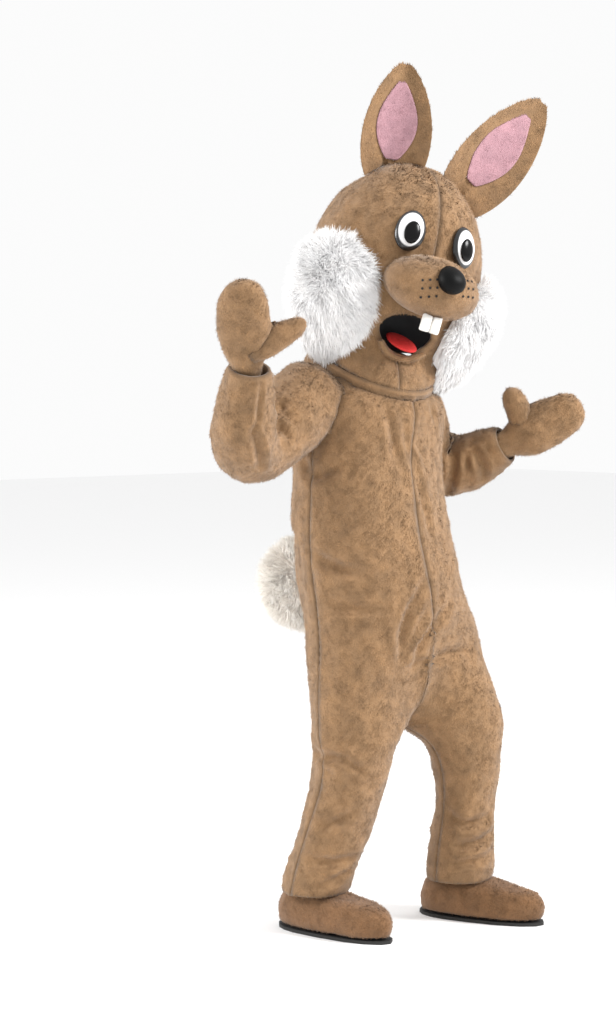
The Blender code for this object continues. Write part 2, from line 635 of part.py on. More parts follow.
def make_shoes(parent):
    """An upper open at the ankle, and a flat sole under it."""
    for foot in FEET:
        outer = [shoe_loop(foot, ring, 0.0) for ring in SHOE_RINGS]
        inner = [shoe_loop(foot, ring, -PLUSH) for ring in SHOE_RINGS]
        piece("shoe_" + foot.side, wall_shape(outer, inner, ring=True), SHOE_TAN, parent)
        edge = SHOE_RINGS[0]._replace(height=SOLE_THICK)
        rows = [shoe_loop(foot, edge._replace(height=height), SOLE_EDGE) for height in (SOLE_THICK, 0.0)]
        piece("sole_" + foot.side, loft_shape(rows), SOLE_BLACK, parent)


# Head

def egg_point(angle, height):
    """A point of the head's outer face, by angle from the face and height above its middle."""
    share = height / (CROWN if height > 0 else CHIN_SCALE)
    round_share = math.sqrt(max(1 - share * share, 0.0))
    turn = math.radians(angle)
    reach = HEAD_FRONT if math.cos(turn) > 0 else HEAD_BACK
    return Vector((HEAD_HALF_WIDTH * round_share * math.sin(turn), -reach * round_share * math.cos(turn), height))


def egg_normal(angle, height):
    """The outward normal of the head's outer face."""
    around = egg_point(angle + 1, height) - egg_point(angle - 1, height)
    up = egg_point(angle, height + SLOPE_STEP) - egg_point(angle, height - SLOPE_STEP)
    return around.cross(up).normalized()


def head_rows(side, lift, head):
    """Half rings of one side of the head, from the crown to the neck band."""
    to_head = head.matrix_world.inverted() @ head.parent.matrix_world
    angles = [180 * j / HEAD_COLUMNS for j in range(HEAD_COLUMNS + 1)]
    rows = []
    for turn in HEAD_TURNS:
        if turn == 0:
            rows.append([Vector((0.0, 0.0, CROWN + lift))] * len(angles))
            continue
        loop = []
        for angle in angles:
            slant = HEAD_NECK_SLANT * math.cos(math.radians(angle)) * (turn / HEAD_TURNS[-1]) ** 2
            fall = turn * (1 + slant)
            height = (CROWN if fall <= 90 else CHIN_SCALE) * math.cos(math.radians(fall))
            normal = egg_normal(side * angle, height)
            if angle in (0, 180):
                normal.x = 0.0
                normal.normalize()
            loop.append(egg_point(side * angle, height) + normal * lift)
        rows.append(loop)
    neck = []
    for angle in angles:
        turn = math.radians(side * angle + HEAD_TURN)
        neck.append(to_head @ neck_point(turn, BAND_HEIGHT + GAP, lift))
    rows.append([low.lerp(end, 0.55) + (low - Vector((0, 0, low.z))).normalized() * 0.012
                 for low, end in zip(rows[-1], neck)])
    rows.append(neck)
    shift = Vector((side * GAP / 2, 0.0, 0.0))
    return [[p + shift for p in row] for row in rows]


def full_rows(lift, head):
    """Closed loops round the whole head, on the points of its halves."""
    left, right = head_rows(1, lift, head), head_rows(-1, lift, head)
    return [a + list(reversed(b))[0 if i else 0:] for i, (a, b) in enumerate(zip(left, right))]


def pad_rise(pad, angle, height):
    """How far a pad's top stands off the head at a place, or nothing outside its outline."""
    across = math.radians(angle - pad.angle) * HEAD_RADIUS / pad.half_width
    along = (height - pad.height) / pad.half_height
    far = math.hypot(across, along)
    if far >= 1:
        return 0.0
    return pad.edge + pad.rise * (1 - far ** pad.roundness) ** 0.5


def pad_shape(pad, side, under, rings=6, spokes=20, grow=0.0):
    """A closed pad lying on the head, or on the pad beneath it."""
    floor = pad_gap(pad, rings) if under is None else STACKED_GAP
    tops, bottoms = [], []
    for i in range(rings + 1):
        far = math.sin(math.pi / 2 * i / rings)
        top, bottom = [], []
        for j in range(spokes):
            spin = 2 * math.pi * j / spokes
            angle = pad.angle + math.degrees(pad.half_width * far * math.cos(spin) / HEAD_RADIUS)
            height = pad.height + pad.half_height * far * math.sin(spin)
            base = floor if under is None else floor + pad_rise(under, angle, height)
            stand = base + pad.edge + pad.rise * max(1 - far ** pad.roundness, 0.0) ** 0.5
            spot = egg_point(side * angle, height)
            normal = egg_normal(side * angle, height)
            top.append(spot + normal * (stand + grow))
            bottom.append(spot + normal * base)
        tops.append(top)
        bottoms.append(bottom)
    return loft_shape(tops + list(reversed(bottoms)))


def pad_gap(pad, rings):
    """Room under a pad, so that its flat facets clear the head's corners."""
    step = max(pad.half_width, pad.half_height) * math.pi / 2 / rings
    return GAP + step * step / (8 * HEAD_RADIUS)


def mouth_rows(slack, turns):
    """Loops of the mouth's ellipsoid, from its deepest point towards the face, smaller by the slack."""
    place = Matrix.Translation(MOUTH_PLACE) @ Matrix.Rotation(math.radians(MOUTH_TILT), 4, 'X')
    rows = []
    for turn in turns:
        tilt = math.radians(turn)
        loop = []
        for j in range(MOUTH_COLUMNS):
            spin = 2 * math.pi * j / MOUTH_COLUMNS
            loop.append(place @ Vector(((MOUTH_HALF_WIDTH - slack) * math.sin(tilt) * math.cos(spin),
                                        (MOUTH_DEPTH - slack) * math.cos(tilt),
                                        (MOUTH_HALF_HEIGHT - slack) * math.sin(tilt) * math.sin(spin))))
        rows.append(loop)
    return rows


def make_mouth(halves, head_form, muzzle_form, head):
    """Opening, bowl, lip, tongue and teeth."""
    opening = cutter("mouth_opening", loft_shape(mouth_rows(0.0, MOUTH_TURNS)), head)
    for half in halves:
        cut(half, opening)
    bowl = [mouth_rows(slack, BOWL_TURNS) for slack in (GAP, BOWL_WALL)]
    piece("mouth_lining", wall_shape(*bowl, ring=True), BLACK, head)

    lip_rows = []
    for i in range(LIP_STEPS + 1):
        spread = math.radians(-LIP_SPREAD + 2 * LIP_SPREAD * i / LIP_STEPS)
        x = (MOUTH_HALF_WIDTH + LIP_OUT) * math.sin(spread)
        z = MOUTH_PLACE[2] - (MOUTH_HALF_HEIGHT + LIP_OUT) * math.cos(spread)
        angle = math.degrees(math.asin(x / HEAD_HALF_WIDTH))
        out = egg_normal(angle, z)
        aside = Vector((math.cos(spread), 0.0, math.sin(spread))).cross(out).normalized()
        radius = LIP_RADIUS * (0.5 + 0.5 * math.cos(spread))
        centre = egg_point(angle, z) + out * (radius * LIP_LIFT)
        turns = [2 * math.pi * j / LIP_SIDES for j in range(LIP_SIDES)]
        lip_rows.append([centre + out * (radius * math.cos(turn)) + aside * (radius * math.sin(turn))
                         for turn in turns])
    cut(piece("lower_lip", loft_shape(lip_rows), TAN, head), head_form)

    tongue_shape = bmesh.new()
    place = (Matrix.Translation(MOUTH_PLACE) @ Matrix.Rotation(math.radians(MOUTH_TILT), 4, 'X')
             @ Matrix.Translation(TONGUE_PLACE))
    bmesh.ops.create_uvsphere(tongue_shape, u_segments=16, v_segments=8, radius=1.0,
                              matrix=place @ Matrix.Diagonal((*TONGUE_SIZE, 1.0)))
    tongue = piece("tongue", tongue_shape, RED, head)
    bowl_form = wall_shape(mouth_rows(0.0, BOWL_TURNS), mouth_rows(BOWL_WALL + GAP, BOWL_TURNS), ring=True)
    cut(tongue, cutter("bowl_form", bowl_form, head))

    for side, word in ((-1, "right"), (1, "left")):
        tooth = bmesh.new()
        x, y, z = TOOTH_PLACE
        bmesh.ops.create_cube(tooth, size=1.0, matrix=Matrix.Translation((side * x, y, z))
                              @ Matrix.Diagonal((TOOTH_WIDTH, TOOTH_THICK, TOOTH_HEIGHT, 1.0)))
        bmesh.ops.bevel(tooth, geom=tooth.edges[:], offset=0.004, segments=2, profile=0.5,
                        affect='EDGES', material=-1)
        cut(piece("tooth_" + word, tooth, TOOTH_WHITE, head), muzzle_form)


def ear_axes(ear):
    """Base, run to the tip, and the directions that the cup faces and widens."""
    base, tip = Vector(ear.base), Vector(ear.tip)
    axis = (tip - base).normalized()
    facing = Vector(ear.facing)
    facing = (facing - axis * facing.dot(axis)).normalized()
    return base, tip - base, facing, axis.cross(facing).normalized()


def ear_leaf(share):
    """Width of the ear's leaf outline along its length, 1 at its widest."""
    return max(math.sin(math.pi * (0.10 + 0.90 * share) ** 0.85) ** 0.60, 0.0)


def ear_front(ear, share, q):
    """A point of the cupped front, q from -1 to 1 across the leaf."""
    base, run, facing, wide = ear_axes(ear)
    leaf = ear_leaf(share)
    return base + run * share + wide * (q * ear.half_width * leaf) + facing * (EAR_CUP * q * q * leaf)


def make_ears(head_form, head):
    """Each ear sits on the head, with a leaf-shaped lining panel laid in its cup."""
    for ear in EARS:
        facing = ear_axes(ear)[2]
        front = [[ear_front(ear, share, q) for q in EAR_COLUMNS] for share in EAR_ROWS]
        back = []
        for share, row in zip(EAR_ROWS, front):
            depths = [EAR_THICK * ear_leaf(share) * math.sqrt(max(1 - q * q, 0.0)) + EAR_EDGE for q in EAR_COLUMNS]
            back.append([p - facing * depth for p, depth in zip(row, depths)])
        shell = piece("ear_" + ear.side, wall_shape(front, back), TAN, head)
        cut(shell, head_form)
        low, high = [], []
        for i in range(LINING_ROWS + 1):
            share = LINING_FOOT + (LINING_TOP - LINING_FOOT) * i / LINING_ROWS
            swell = LINING_WIDTH * math.sin(math.pi * (0.06 + 0.88 * i / LINING_ROWS)) ** 0.7
            row = [ear_front(ear, share, swell * (2 * j / LINING_COLUMNS - 1)) for j in range(LINING_COLUMNS + 1)]
            low.append([p + facing * LINING_GAP for p in row])
            high.append([p + facing * (LINING_GAP + EAR_LINING) for p in row])
        piece("ear_lining_" + ear.side, wall_shape(high, low), PINK, head)


def make_head(parent, forms, sleeve_forms):
    """The hollow head in two halves, its furred cheeks, muzzle, nose, eyes, mouth and ears."""
    head = bpy.data.objects.new("head_axes", None)
    bpy.context.collection.objects.link(head)
    head.parent = parent
    head.matrix_local = (Matrix.Translation(HEAD_PLACE) @ Matrix.Rotation(math.radians(HEAD_TURN), 4, 'Z')
                         @ Matrix.Rotation(math.radians(HEAD_NOD), 4, 'X')
                         @ Matrix.Rotation(math.radians(HEAD_LEAN), 4, 'Y'))
    bpy.context.view_layer.update()

    halves = []
    for side, word in ((-1, "right"), (1, "left")):
        outer, inner = [[row[::side] for row in head_rows(side, lift, head)] for lift in (0.0, -HEAD_WALL)]
        halves.append(piece("head_" + word, wall_shape(outer, inner), TAN, head))
    head_form = cutter("head_form", loft_shape(full_rows(LAID_GAP, head)), head)
    muzzle_form = cutter("muzzle_form", pad_shape(MUZZLE, 1, None, 6, 20, GAP), head)

    piece("muzzle", pad_shape(MUZZLE, 1, None, 6, 20), TAN, head)
    piece("nose", pad_shape(NOSE, 1, MUZZLE, 5, 16), BLACK, head)
    for side, word in ((-1, "right"), (1, "left")):
        cheek = piece("cheek_" + word, pad_shape(CHEEK, side, None, 5, 18), WHITE_FUR, head)
        for form in (head_form, *forms, sleeve_forms[word]):
            cut(cheek, form)
        piece("eye_" + word, pad_shape(EYE, side, None, 4, 16), EYE_WHITE, head)
        piece("pupil_" + word, pad_shape(PUPIL, side, EYE, 3, 14), BLACK, head)
    make_mouth(halves, head_form, muzzle_form, head)
    make_ears(head_form, head)


def main():
    for old in list(bpy.data.objects):
        bpy.data.objects.remove(old, do_unlink=True)
    costume = bpy.data.objects.new("costume_axes", None)
    bpy.context.collection.objects.link(costume)
    costume.location = (0.0, 0.0, -SHOULDER_HEIGHT)
    bpy.context.view_layer.update()

    form_levels = [level for level in suit_levels(1) if level > 0.56]
    trunk_form = cutter("trunk_form", loft_shape([body_loop(level, GAP) for level in form_levels]), costume)
    panels = {"right": [], "left": []}
    for side, word in ((-1, "right"), (1, "left")):
        panels[word] = [make_panel("front_" + word, side, -1, costume),
                        make_panel("back_" + word, side, 1, costume)]
    sleeve_forms = make_sleeves(trunk_form, panels, costume)
    band_form = make_band(costume)
    make_placket(costume)
    make_tail(trunk_form, costume)
    make_mitts(costume)
    make_shoes(costume)
    make_head(costume, (trunk_form, band_form), sleeve_forms)


main()
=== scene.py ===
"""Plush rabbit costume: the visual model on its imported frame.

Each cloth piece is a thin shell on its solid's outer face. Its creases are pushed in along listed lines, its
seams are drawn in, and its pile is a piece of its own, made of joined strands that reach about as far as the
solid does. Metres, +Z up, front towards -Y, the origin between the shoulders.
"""

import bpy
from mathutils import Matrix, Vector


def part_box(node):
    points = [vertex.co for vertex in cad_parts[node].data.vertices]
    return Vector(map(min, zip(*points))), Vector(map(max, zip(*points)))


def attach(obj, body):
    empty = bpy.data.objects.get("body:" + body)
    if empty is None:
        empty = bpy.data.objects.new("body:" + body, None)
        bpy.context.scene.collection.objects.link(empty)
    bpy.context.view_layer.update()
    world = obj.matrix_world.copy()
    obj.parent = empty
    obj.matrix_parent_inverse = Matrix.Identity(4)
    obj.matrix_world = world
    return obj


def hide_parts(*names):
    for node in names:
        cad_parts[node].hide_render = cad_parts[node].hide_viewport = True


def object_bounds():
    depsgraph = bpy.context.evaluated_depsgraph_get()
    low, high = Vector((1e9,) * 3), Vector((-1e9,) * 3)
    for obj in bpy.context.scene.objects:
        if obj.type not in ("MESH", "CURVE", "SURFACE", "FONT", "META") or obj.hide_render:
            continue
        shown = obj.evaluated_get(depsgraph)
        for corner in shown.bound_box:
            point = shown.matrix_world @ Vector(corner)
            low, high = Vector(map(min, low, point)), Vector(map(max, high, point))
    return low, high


bl_info = {
    "name": "Plush rabbit costume",
    "version": (1, 0, 0),
    "blender": (4, 5, 0),
    "location": "3D View > Sidebar > Costume",
    "description": "Dresses the frame of a worn plush rabbit costume with cloth, pile, face and studio",
    "category": "Object",
}

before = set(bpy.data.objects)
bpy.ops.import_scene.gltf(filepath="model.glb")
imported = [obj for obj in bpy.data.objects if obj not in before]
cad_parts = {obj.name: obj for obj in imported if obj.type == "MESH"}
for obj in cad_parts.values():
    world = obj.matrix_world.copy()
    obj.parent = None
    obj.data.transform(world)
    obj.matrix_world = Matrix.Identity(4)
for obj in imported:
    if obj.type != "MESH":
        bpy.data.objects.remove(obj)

import math
from collections import namedtuple

import bmesh
import bpy
import numpy as np
from mathutils import Vector
from mathutils.bvhtree import BVHTree
from mathutils.kdtree import KDTree

CAD_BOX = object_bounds()
FLOOR = CAD_BOX[0][2]


def metres(points):
    """The places of a table in millimetres, in metres."""
    return [tuple(value / 1000 for value in point) for point in points]


# Inner lines of the hollow pieces, in millimetres: a face that looks away from its line is an outer face
TRUNK_LINE = metres([(-6, 25, 20), (-14, 20, -120), (-25, 13, -290), (-22, -2, -430), (-9, -16, -520)])
RIGHT_LEG_LINE = metres([(-60, -30, -640), (-118, -38, -820), (-130, -39, -900), (-135, -29, -960),
    (-155, -10, -1050), (-178, 14, -1140), (-186, 26, -1205)])
LEFT_LEG_LINE = metres([(70, -50, -640), (137, -90, -820), (160, -110, -870), (174, -120, -970),
    (171, -116, -1050), (168, -110, -1120), (166, -104, -1205)])
RIGHT_ARM_LINE = metres([(-150, 45, -8), (-300, 25, -112), (-400, 10, -165), (-450, -20, -135),
    (-475, -55, -60), (-498, -100, 28)])
LEFT_ARM_LINE = metres([(150, 45, -28), (205, 65, -150), (238, 60, -218), (258, 20, -220), (285, -40, -190),
    (317, -110, -157)])
HEAD_LINE = metres([(85, 20, 360), (55, 15, 260), (15, 20, 130), (-6, 25, 30)])
BAND_LINE = metres([(-6, 25, 0), (-6, 25, 60)])
RIGHT_MITT_LINE = metres([(-489, -80, -11), (-565, -157, 184)])
LEFT_MITT_LINE = metres([(286, -84, -176), (425, -222, -76)])
RIGHT_THUMB_LINE = metres([(-516, -128, 64), (-440, -195, 118)])
LEFT_THUMB_LINE = metres([(348, -151, -122), (325, -151, -35)])
RIGHT_FOOT_LINE = metres([(-181, 90, -1262), (-183, -130, -1262)])
LEFT_FOOT_LINE = metres([(154, -44, -1262), (223, -245, -1262)])

# Cloth shells: node, inner line, pile, levels of smoothing, flat width, length and area of the cut in metres,
# how the cloth is held and what it rests on
SIDES = ("right", "left")
Cloth = namedtuple("Cloth", "node line pile levels width length area held rests_on")
SUIT_RIGHT = TRUNK_LINE + RIGHT_LEG_LINE
SUIT_LEFT = TRUNK_LINE + LEFT_LEG_LINE
SUIT = [Cloth(part + side, line, "suit", 2, 0.42, 1.32, 0.36, "draped", ["neck_band_cloth"])
        for part in ("front_", "back_") for side, line in (("right", SUIT_RIGHT), ("left", SUIT_LEFT))]
SUIT += [
    Cloth("sleeve_right", RIGHT_ARM_LINE, "suit", 2, 0.50, 0.60, 0.24, "draped", ["front_right_cloth"]),
    Cloth("sleeve_left", LEFT_ARM_LINE, "suit", 2, 0.46, 0.40, 0.14, "draped", ["front_left_cloth"]),
    Cloth("neck_band", BAND_LINE, "trim", 2, 0.025, 0.96, None, "stretched", ["front_right_cloth"]),
    Cloth("back_placket", TRUNK_LINE, "trim", 2, 0.08, 0.31, None, "laid", ["back_right_cloth"]),
]
HEAD = [Cloth("head_" + side, HEAD_LINE, "head", 2, 0.50, 0.66, 0.29, "stretched", ["neck_band_cloth"])
        for side in SIDES]
MITTS = [
    Cloth("mitt_right", RIGHT_MITT_LINE, "mitt", 1, 0.30, 0.27, 0.062, "draped", ["sleeve_right_cloth"]),
    Cloth("mitt_left", LEFT_MITT_LINE, "mitt", 1, 0.30, 0.27, 0.062, "draped", ["sleeve_left_cloth"]),
    Cloth("thumb_right", RIGHT_THUMB_LINE, "mitt", 1, 0.17, 0.11, 0.013, "draped", ["mitt_right_cloth"]),
    Cloth("thumb_left", LEFT_THUMB_LINE, "mitt", 1, 0.17, 0.11, 0.013, "draped", ["mitt_left_cloth"]),
]
SHOES = [
    Cloth("shoe_right", RIGHT_FOOT_LINE, "shoe", 1, 0.34, 0.34, 0.085, "stretched", ["sole_right_sheet"]),
    Cloth("shoe_left", LEFT_FOOT_LINE, "shoe", 1, 0.34, 0.34, 0.085, "stretched", ["sole_left_sheet"]),
]
SHELL_THICK = 0.0018

# Pile: strands for each square centimetre, their length and width, stand off the cloth, mess, the cloth's
# inset under them, size of their clumps, roll about their own way in radians, and segments
Pile = namedtuple("Pile", "density length width stand mess inset clump roll segments",
                  defaults=(0.028, 0.2, 1))
PILES = {
    "suit": Pile(13.7, 0.0085, 0.0016, 0.50, 0.55, 0.0042),
    "trim": Pile(18.0, 0.0055, 0.0014, 0.50, 0.45, 0.0030),
    "head": Pile(15.0, 0.0090, 0.0016, 0.45, 0.50, 0.0042),
    "mitt": Pile(16.0, 0.0085, 0.0015, 0.55, 0.60, 0.0042),
    "shoe": Pile(16.0, 0.0075, 0.0014, 0.50, 0.50, 0.0040),
    "muzzle": Pile(17.0, 0.0070, 0.0015, 0.50, 0.45, 0.0040),
    "ear": Pile(15.0, 0.0085, 0.0016, 0.50, 0.50, 0.0),
    "lining": Pile(18.0, 0.0060, 0.0014, 0.50, 0.50, 0.0),
    "cheek": Pile(25.5, 0.0340, 0.0017, 0.42, 0.50, 0.0, 0.05, 0.5, 2),
    "tail": Pile(18.0, 0.0340, 0.0018, 0.75, 0.55, 0.0, 0.05, 0.5, 2),
}
# Way in which cloth pile is combed, down and a little back, and that of the ears' pile
COMB = (0.0, 0.45, -1.0)
EAR_COMB = (0.0, 0.0, 1.0)

# How each strand is laid: weights of the comb, clumps and strays in its way, its least rise off the cloth,
# how much of its length it droops, its taper, spread of lengths and widths, and how far its root is sunk in
COMB_WEIGHT = 0.75
CLUMP_WEIGHT = 0.6
STRAY_WEIGHT = 0.35
LEAST_RISE = 0.22
DROOP = 0.16
TAPER = 0.55
LENGTHS = (0.65, 1.25)
WIDTHS = (0.7, 1.3)
ROOT_SINK = 0.0008
# Lean of a short strand's shading from the cloth's normal to the strand's way
SHADE_LEAN = 0.2
# Tone of the strands: middle, waves and their size, scatter, and what a seam takes off tone, as painted shade
# in its groove, and off length
TONE = 0.5
TONE_WAVES = 0.35
TONE_SIZE = 0.035
TONE_SCATTER = 0.18
SEAM_PAINTED_SHADE = 0.7
SEAM_SHORTER = 0.45
SEEDS = {"suit": 100, "head": 200, "pads": 220, "ear": 240, "lining": 250, "cheek": 300, "tail": 310,
         "mitts": 400, "shoes": 500}
SWIRL_SEED = 11
TONE_SEED = 31

# Tip and tone values of the surfaces under the pile, which set how dark they are: painted shade, as at the
# strands' roots
CLOTH_TIP = 0.30
PAD_TIP = 0.22
LINING_TIP = 0.35
FUR_TIP = 0.25
SHELL_TONE = 0.45

# Creases: their pieces, half width, depth (a ridge where below zero) and line on the cloth, in millimetres
Crease = namedtuple("Crease", "pieces width depth points")
TRUNK = ("front_right", "front_left", "back_right", "back_left")
RIGHT_SLEEVE = ("sleeve_right",)
LEFT_SLEEVE = ("sleeve_left",)
CREASES = [Crease(*row) for row in (
    (TRUNK, 12, 6, [(-85, -114, -62), (-76, -125, -109), (-67, -127, -183)]),
    (TRUNK, 11, 7, [(-57, -123, -67), (-44, -129, -109), (-21, -129, -170), (-8, -136, -238),
        (7, -148, -304), (17, -158, -353)]),
    (TRUNK, 10, 6, [(60, -114, -57), (75, -117, -97)]),
    (TRUNK, 9, 5, [(-14, -129, -138), (22, -123, -174)]),
    (TRUNK, 13, 9, [(-204, 58, -185), (-212, 11, -223), (-195, -45, -201)]),
    (TRUNK, 12, 10, [(-231, -6, -398), (-226, -52, -421), (-207, -86, -436), (-182, -113, -438)]),
    (TRUNK, 11, 7, [(-223, -49, -503), (-211, -87, -524), (-196, -112, -523), (-166, -143, -532),
        (-137, -162, -525)]),
    (TRUNK, 11, 10, [(-29, -185, -463), (-78, -181, -537), (-95, -173, -592), (-88, -166, -645)]),
    (TRUNK, 10, -6, [(-8, -187, -479), (-6, -185, -547), (-49, -176, -610), (-57, -161, -669)]),
    (TRUNK, 11, 9, [(50, -182, -528), (0, -183, -571), (-31, -175, -614), (-41, -168, -639)]),
    (TRUNK, 11, 9, [(-57, -161, -669), (17, -166, -659), (111, -163, -641), (146, -163, -651)]),
    (TRUNK, 10, 9, [(-220, -4, -870), (-226, -59, -874), (-213, -96, -868)]),
    (TRUNK, 9, 6, [(-229, -36, -904), (-223, -60, -911)]),
    (TRUNK, 9, 7, [(-209, -100, -873), (-176, -125, -908)]),
    (TRUNK, 10, 8, [(-238, -55, -1036), (-215, -82, -1021), (-190, -106, -1003)]),
    (TRUNK, 10, 8, [(-252, -30, -1111), (-210, -67, -1121), (-162, -77, -1117)]),
    (TRUNK, 9, 6, [(-243, -40, -1179), (-206, -62, -1164), (-167, -68, -1151)]),
    (TRUNK, 10, 9, [(101, -160, -1113), (158, -187, -1103), (202, -182, -1090)]),
    (TRUNK, 10, 9, [(93, -130, -1032), (111, -170, -1058), (174, -198, -1048)]),
    (TRUNK, 9, 6, [(97, -157, -1154), (177, -190, -1144)]),
    (TRUNK, 12, 6, [(-150, 190, -120), (-90, 200, -170), (-30, 200, -260)]),
    (TRUNK, 12, 7, [(140, 190, -100), (80, 200, -190), (40, 200, -290)]),
    (TRUNK, 13, 9, [(-200, 100, -360), (-140, 160, -400), (-60, 180, -410)]),
    (TRUNK, 12, 8, [(190, 90, -330), (120, 160, -380), (50, 180, -400)]),
    (TRUNK, 11, 7, [(180, 40, -420), (190, -40, -450), (150, -120, -455)]),
    (TRUNK, 12, 9, [(-170, 130, -660), (-90, 150, -700), (-20, 130, -750)]),
    (TRUNK, 12, 9, [(190, 70, -640), (120, 110, -700), (30, 120, -760)]),
    (TRUNK, 11, 8, [(-200, 50, -840), (-130, 70, -860), (-60, 60, -850)]),
    (TRUNK, 11, 8, [(240, -60, -860), (180, -10, -880), (100, -20, -870)]),
    (TRUNK, 10, 7, [(-200, 60, -930), (-140, 70, -960)]),
    (TRUNK, 10, 7, [(230, -70, -960), (170, -30, -980)]),
    (TRUNK, 10, 7, [(-240, 70, -1100), (-190, 100, -1120), (-130, 70, -1130)]),
    (TRUNK, 10, 7, [(220, -60, -1100), (170, -20, -1120), (110, -50, -1110)]),
    (RIGHT_SLEEVE, 10, 7, [(-300, 100, -100), (-340, 100, -150), (-400, 80, -190)]),
    (RIGHT_SLEEVE, 9, 6, [(-500, 30, -100), (-520, 10, -150)]),
    (RIGHT_SLEEVE, 9, 6, [(-250, 110, -60), (-270, 90, -10)]),
    (LEFT_SLEEVE, 9, 6, [(200, 140, -120), (260, 130, -150)]),
    (LEFT_SLEEVE, 9, 7, [(300, 80, -220), (280, 50, -280)]),
    (RIGHT_SLEEVE, 10, 9, [(-498, -115, -116), (-473, -106, -152), (-439, -77, -195)]),
    (RIGHT_SLEEVE, 10, 9, [(-420, -90, -95), (-362, -53, -106), (-340, -62, -126)]),
    (RIGHT_SLEEVE, 9, 6, [(-360, -50, -50), (-333, -28, -50)]),
    (RIGHT_SLEEVE, 6, 4, [(-501, -146, 0), (-498, -139, -28), (-492, -125, -90), (-498, -115, -116)]),
    (LEFT_SLEEVE, 10, 9, [(216, -36, -195), (211, -31, -239), (233, 3, -275)]),
    (LEFT_SLEEVE, 8, 6, [(227, -63, -182), (229, -64, -209)]),
    (LEFT_SLEEVE, 10, 8, [(239, -78, -175), (254, -94, -209), (271, -82, -239)]),
)]
# A crease's step when it is laid on the cloth, depth and rounding at its ends, the ends' clip, and the
# height, place and width of the soft banks beside it, by its half width
CREASE_STEP = 0.015
END_DEPTH = 0.30
END_ROUND = 0.6
END_CLIP = 0.02
BANK_HEIGHT = 0.38
BANK_PLACE = 2.1
BANK_WIDTH = 0.8

# Soft waves of the cloth: seed and size of the broad and the small ones, and the share of the small ones
BROAD_WAVES = (3, 0.14)
SMALL_WAVES = (4, 0.05)
SMALL_SHARE = 0.35
# How a field of waves is summed: count, spread of their lengths and what the sum is divided by
WAVE_COUNT = 10
WAVE_SPREAD = (0.6, 1.5)
WAVE_SUM = 4.5

# Seams: width and depth of the groove, reach of the calm cloth beside it and how calm it is, reach within
# which edges meet, and the width that is turned in
SEAM_WIDTH = 0.0065
SEAM_DEPTH = 0.0026
SEAM_CALM = 0.018
CALM_SHARE = 0.75
SEAM_REACH = 0.008
ALLOWANCE = 0.006
# Shares past which a crease or seam is divided more finely, and past which a seam's normals are shared
CREASE_FINE = 0.03
SEAM_FINE = 0.2
SEAM_SHARED = 0.03

# Copies of CAD nodes: vertices merged, triangles joined where they are this flat and square, in degrees, and
# the least facing of an outer face
MERGE_WITHIN = 0.00002
JOIN_FLAT = 50
JOIN_SQUARE = 70
OUTER_FACING = 0.30
# Edges that stay sharp, in degrees
DOT_SHARP = 50
SOLE_SHARP = 40
TOOTH_SHARP = 60

# Ears and the mouth's bowl are drawn a little larger than their solids, to meet the head's inset shell
EAR_STRETCH = 1.02
MOUTH_STRETCH = 1.12
# Pile of an ear is left out this near its lining
LINING_NEAR = 0.008

# Stuffing of the pads, and how the furred ones are drawn in: scale, share of the way from the pad's middle to
# the head's axis, and pull of the fur's flow downwards
CHEEK_SCALE = 0.90
CHEEK_SHARE = 0.25
CHEEK_PULL = 0.80
TAIL_SCALE = 0.84
TAIL_PULL = 0.25
HEAD_AXIS = (0.055, 0.015)

# Length of the tail's inner line
TAIL_CORE = 0.01

# Whisker dots: regular rows on both sides of the nose, by distance aside and height, with a dot's size, its
# taper and sides, the cloth left bare around it and how far out it is cast from
DOT_COLUMNS = [0.034, 0.050, 0.066]
DOT_ROWS = [0.004, -0.014, -0.032]
DOT_RADIUS = 0.0030
DOT_THICK = 0.0012
DOT_LIFT = 0.0024
DOT_TAPER = 0.8
DOT_SIDES = 12
DOT_BARE = 1.5
DOT_CAST = 0.1

# Camera: turn down from level and left from the origin, in degrees. Lights: place and size
CAMERA_TILT = 3.467
CAMERA_TURN = 1.919
KEY_PLACE, KEY_SIZE = (2.2, -3.9, 2.9), 2.0
FILL_PLACE, FILL_SIZE = (-3.6, 2.4, 1.6), 2.4
LIGHT_AIM = (0, 0, -0.2)

# What all colour settings share
COLOUR = {"size": 3, "subtype": 'COLOR', "min": 0.0, "max": 1.0}


class ClothSettings(bpy.types.PropertyGroup):
    """Form and colours of the cloth"""
    unevenness: bpy.props.FloatProperty(
        name="Unevenness", description="Height of the cloth's soft waves", default=0.0040, min=0.0, max=0.01,
        unit='LENGTH')
    crease_depth: bpy.props.FloatProperty(
        name="Crease depth", description="Scale of the depth of the creases", default=1.35, min=0.0, max=2.0)
    tan: bpy.props.FloatVectorProperty(
        name="Suit colour", description="Colour of the short plush", default=(0.37, 0.212, 0.098), **COLOUR)
    shoe: bpy.props.FloatVectorProperty(
        name="Shoe colour", description="Colour of the shoe covers", default=(0.27, 0.136, 0.056), **COLOUR)
    pink: bpy.props.FloatVectorProperty(
        name="Ear colour", description="Colour of the ear linings", default=(0.50, 0.275, 0.315), **COLOUR)


class PileSettings(bpy.types.PropertyGroup):
    """Length, density, colours and scatter of the pile"""
    length_scale: bpy.props.FloatProperty(
        name="Pile length", description="Scale of the length of all strands", default=1.0, min=0.3, max=1.5)
    density_scale: bpy.props.FloatProperty(
        name="Pile density", description="Scale of the number of strands", default=1.0, min=0.1, max=1.2)
    white: bpy.props.FloatVectorProperty(
        name="Cheek colour", description="Colour of the cheek fur", default=(0.96, 0.96, 0.965), **COLOUR)
    tail: bpy.props.FloatVectorProperty(
        name="Tail colour", description="Colour of the tail fur", default=(0.97, 0.93, 0.88), **COLOUR)
    seed: bpy.props.IntProperty(name="Seed", description="Start of the strands' scatter", default=7, min=0)


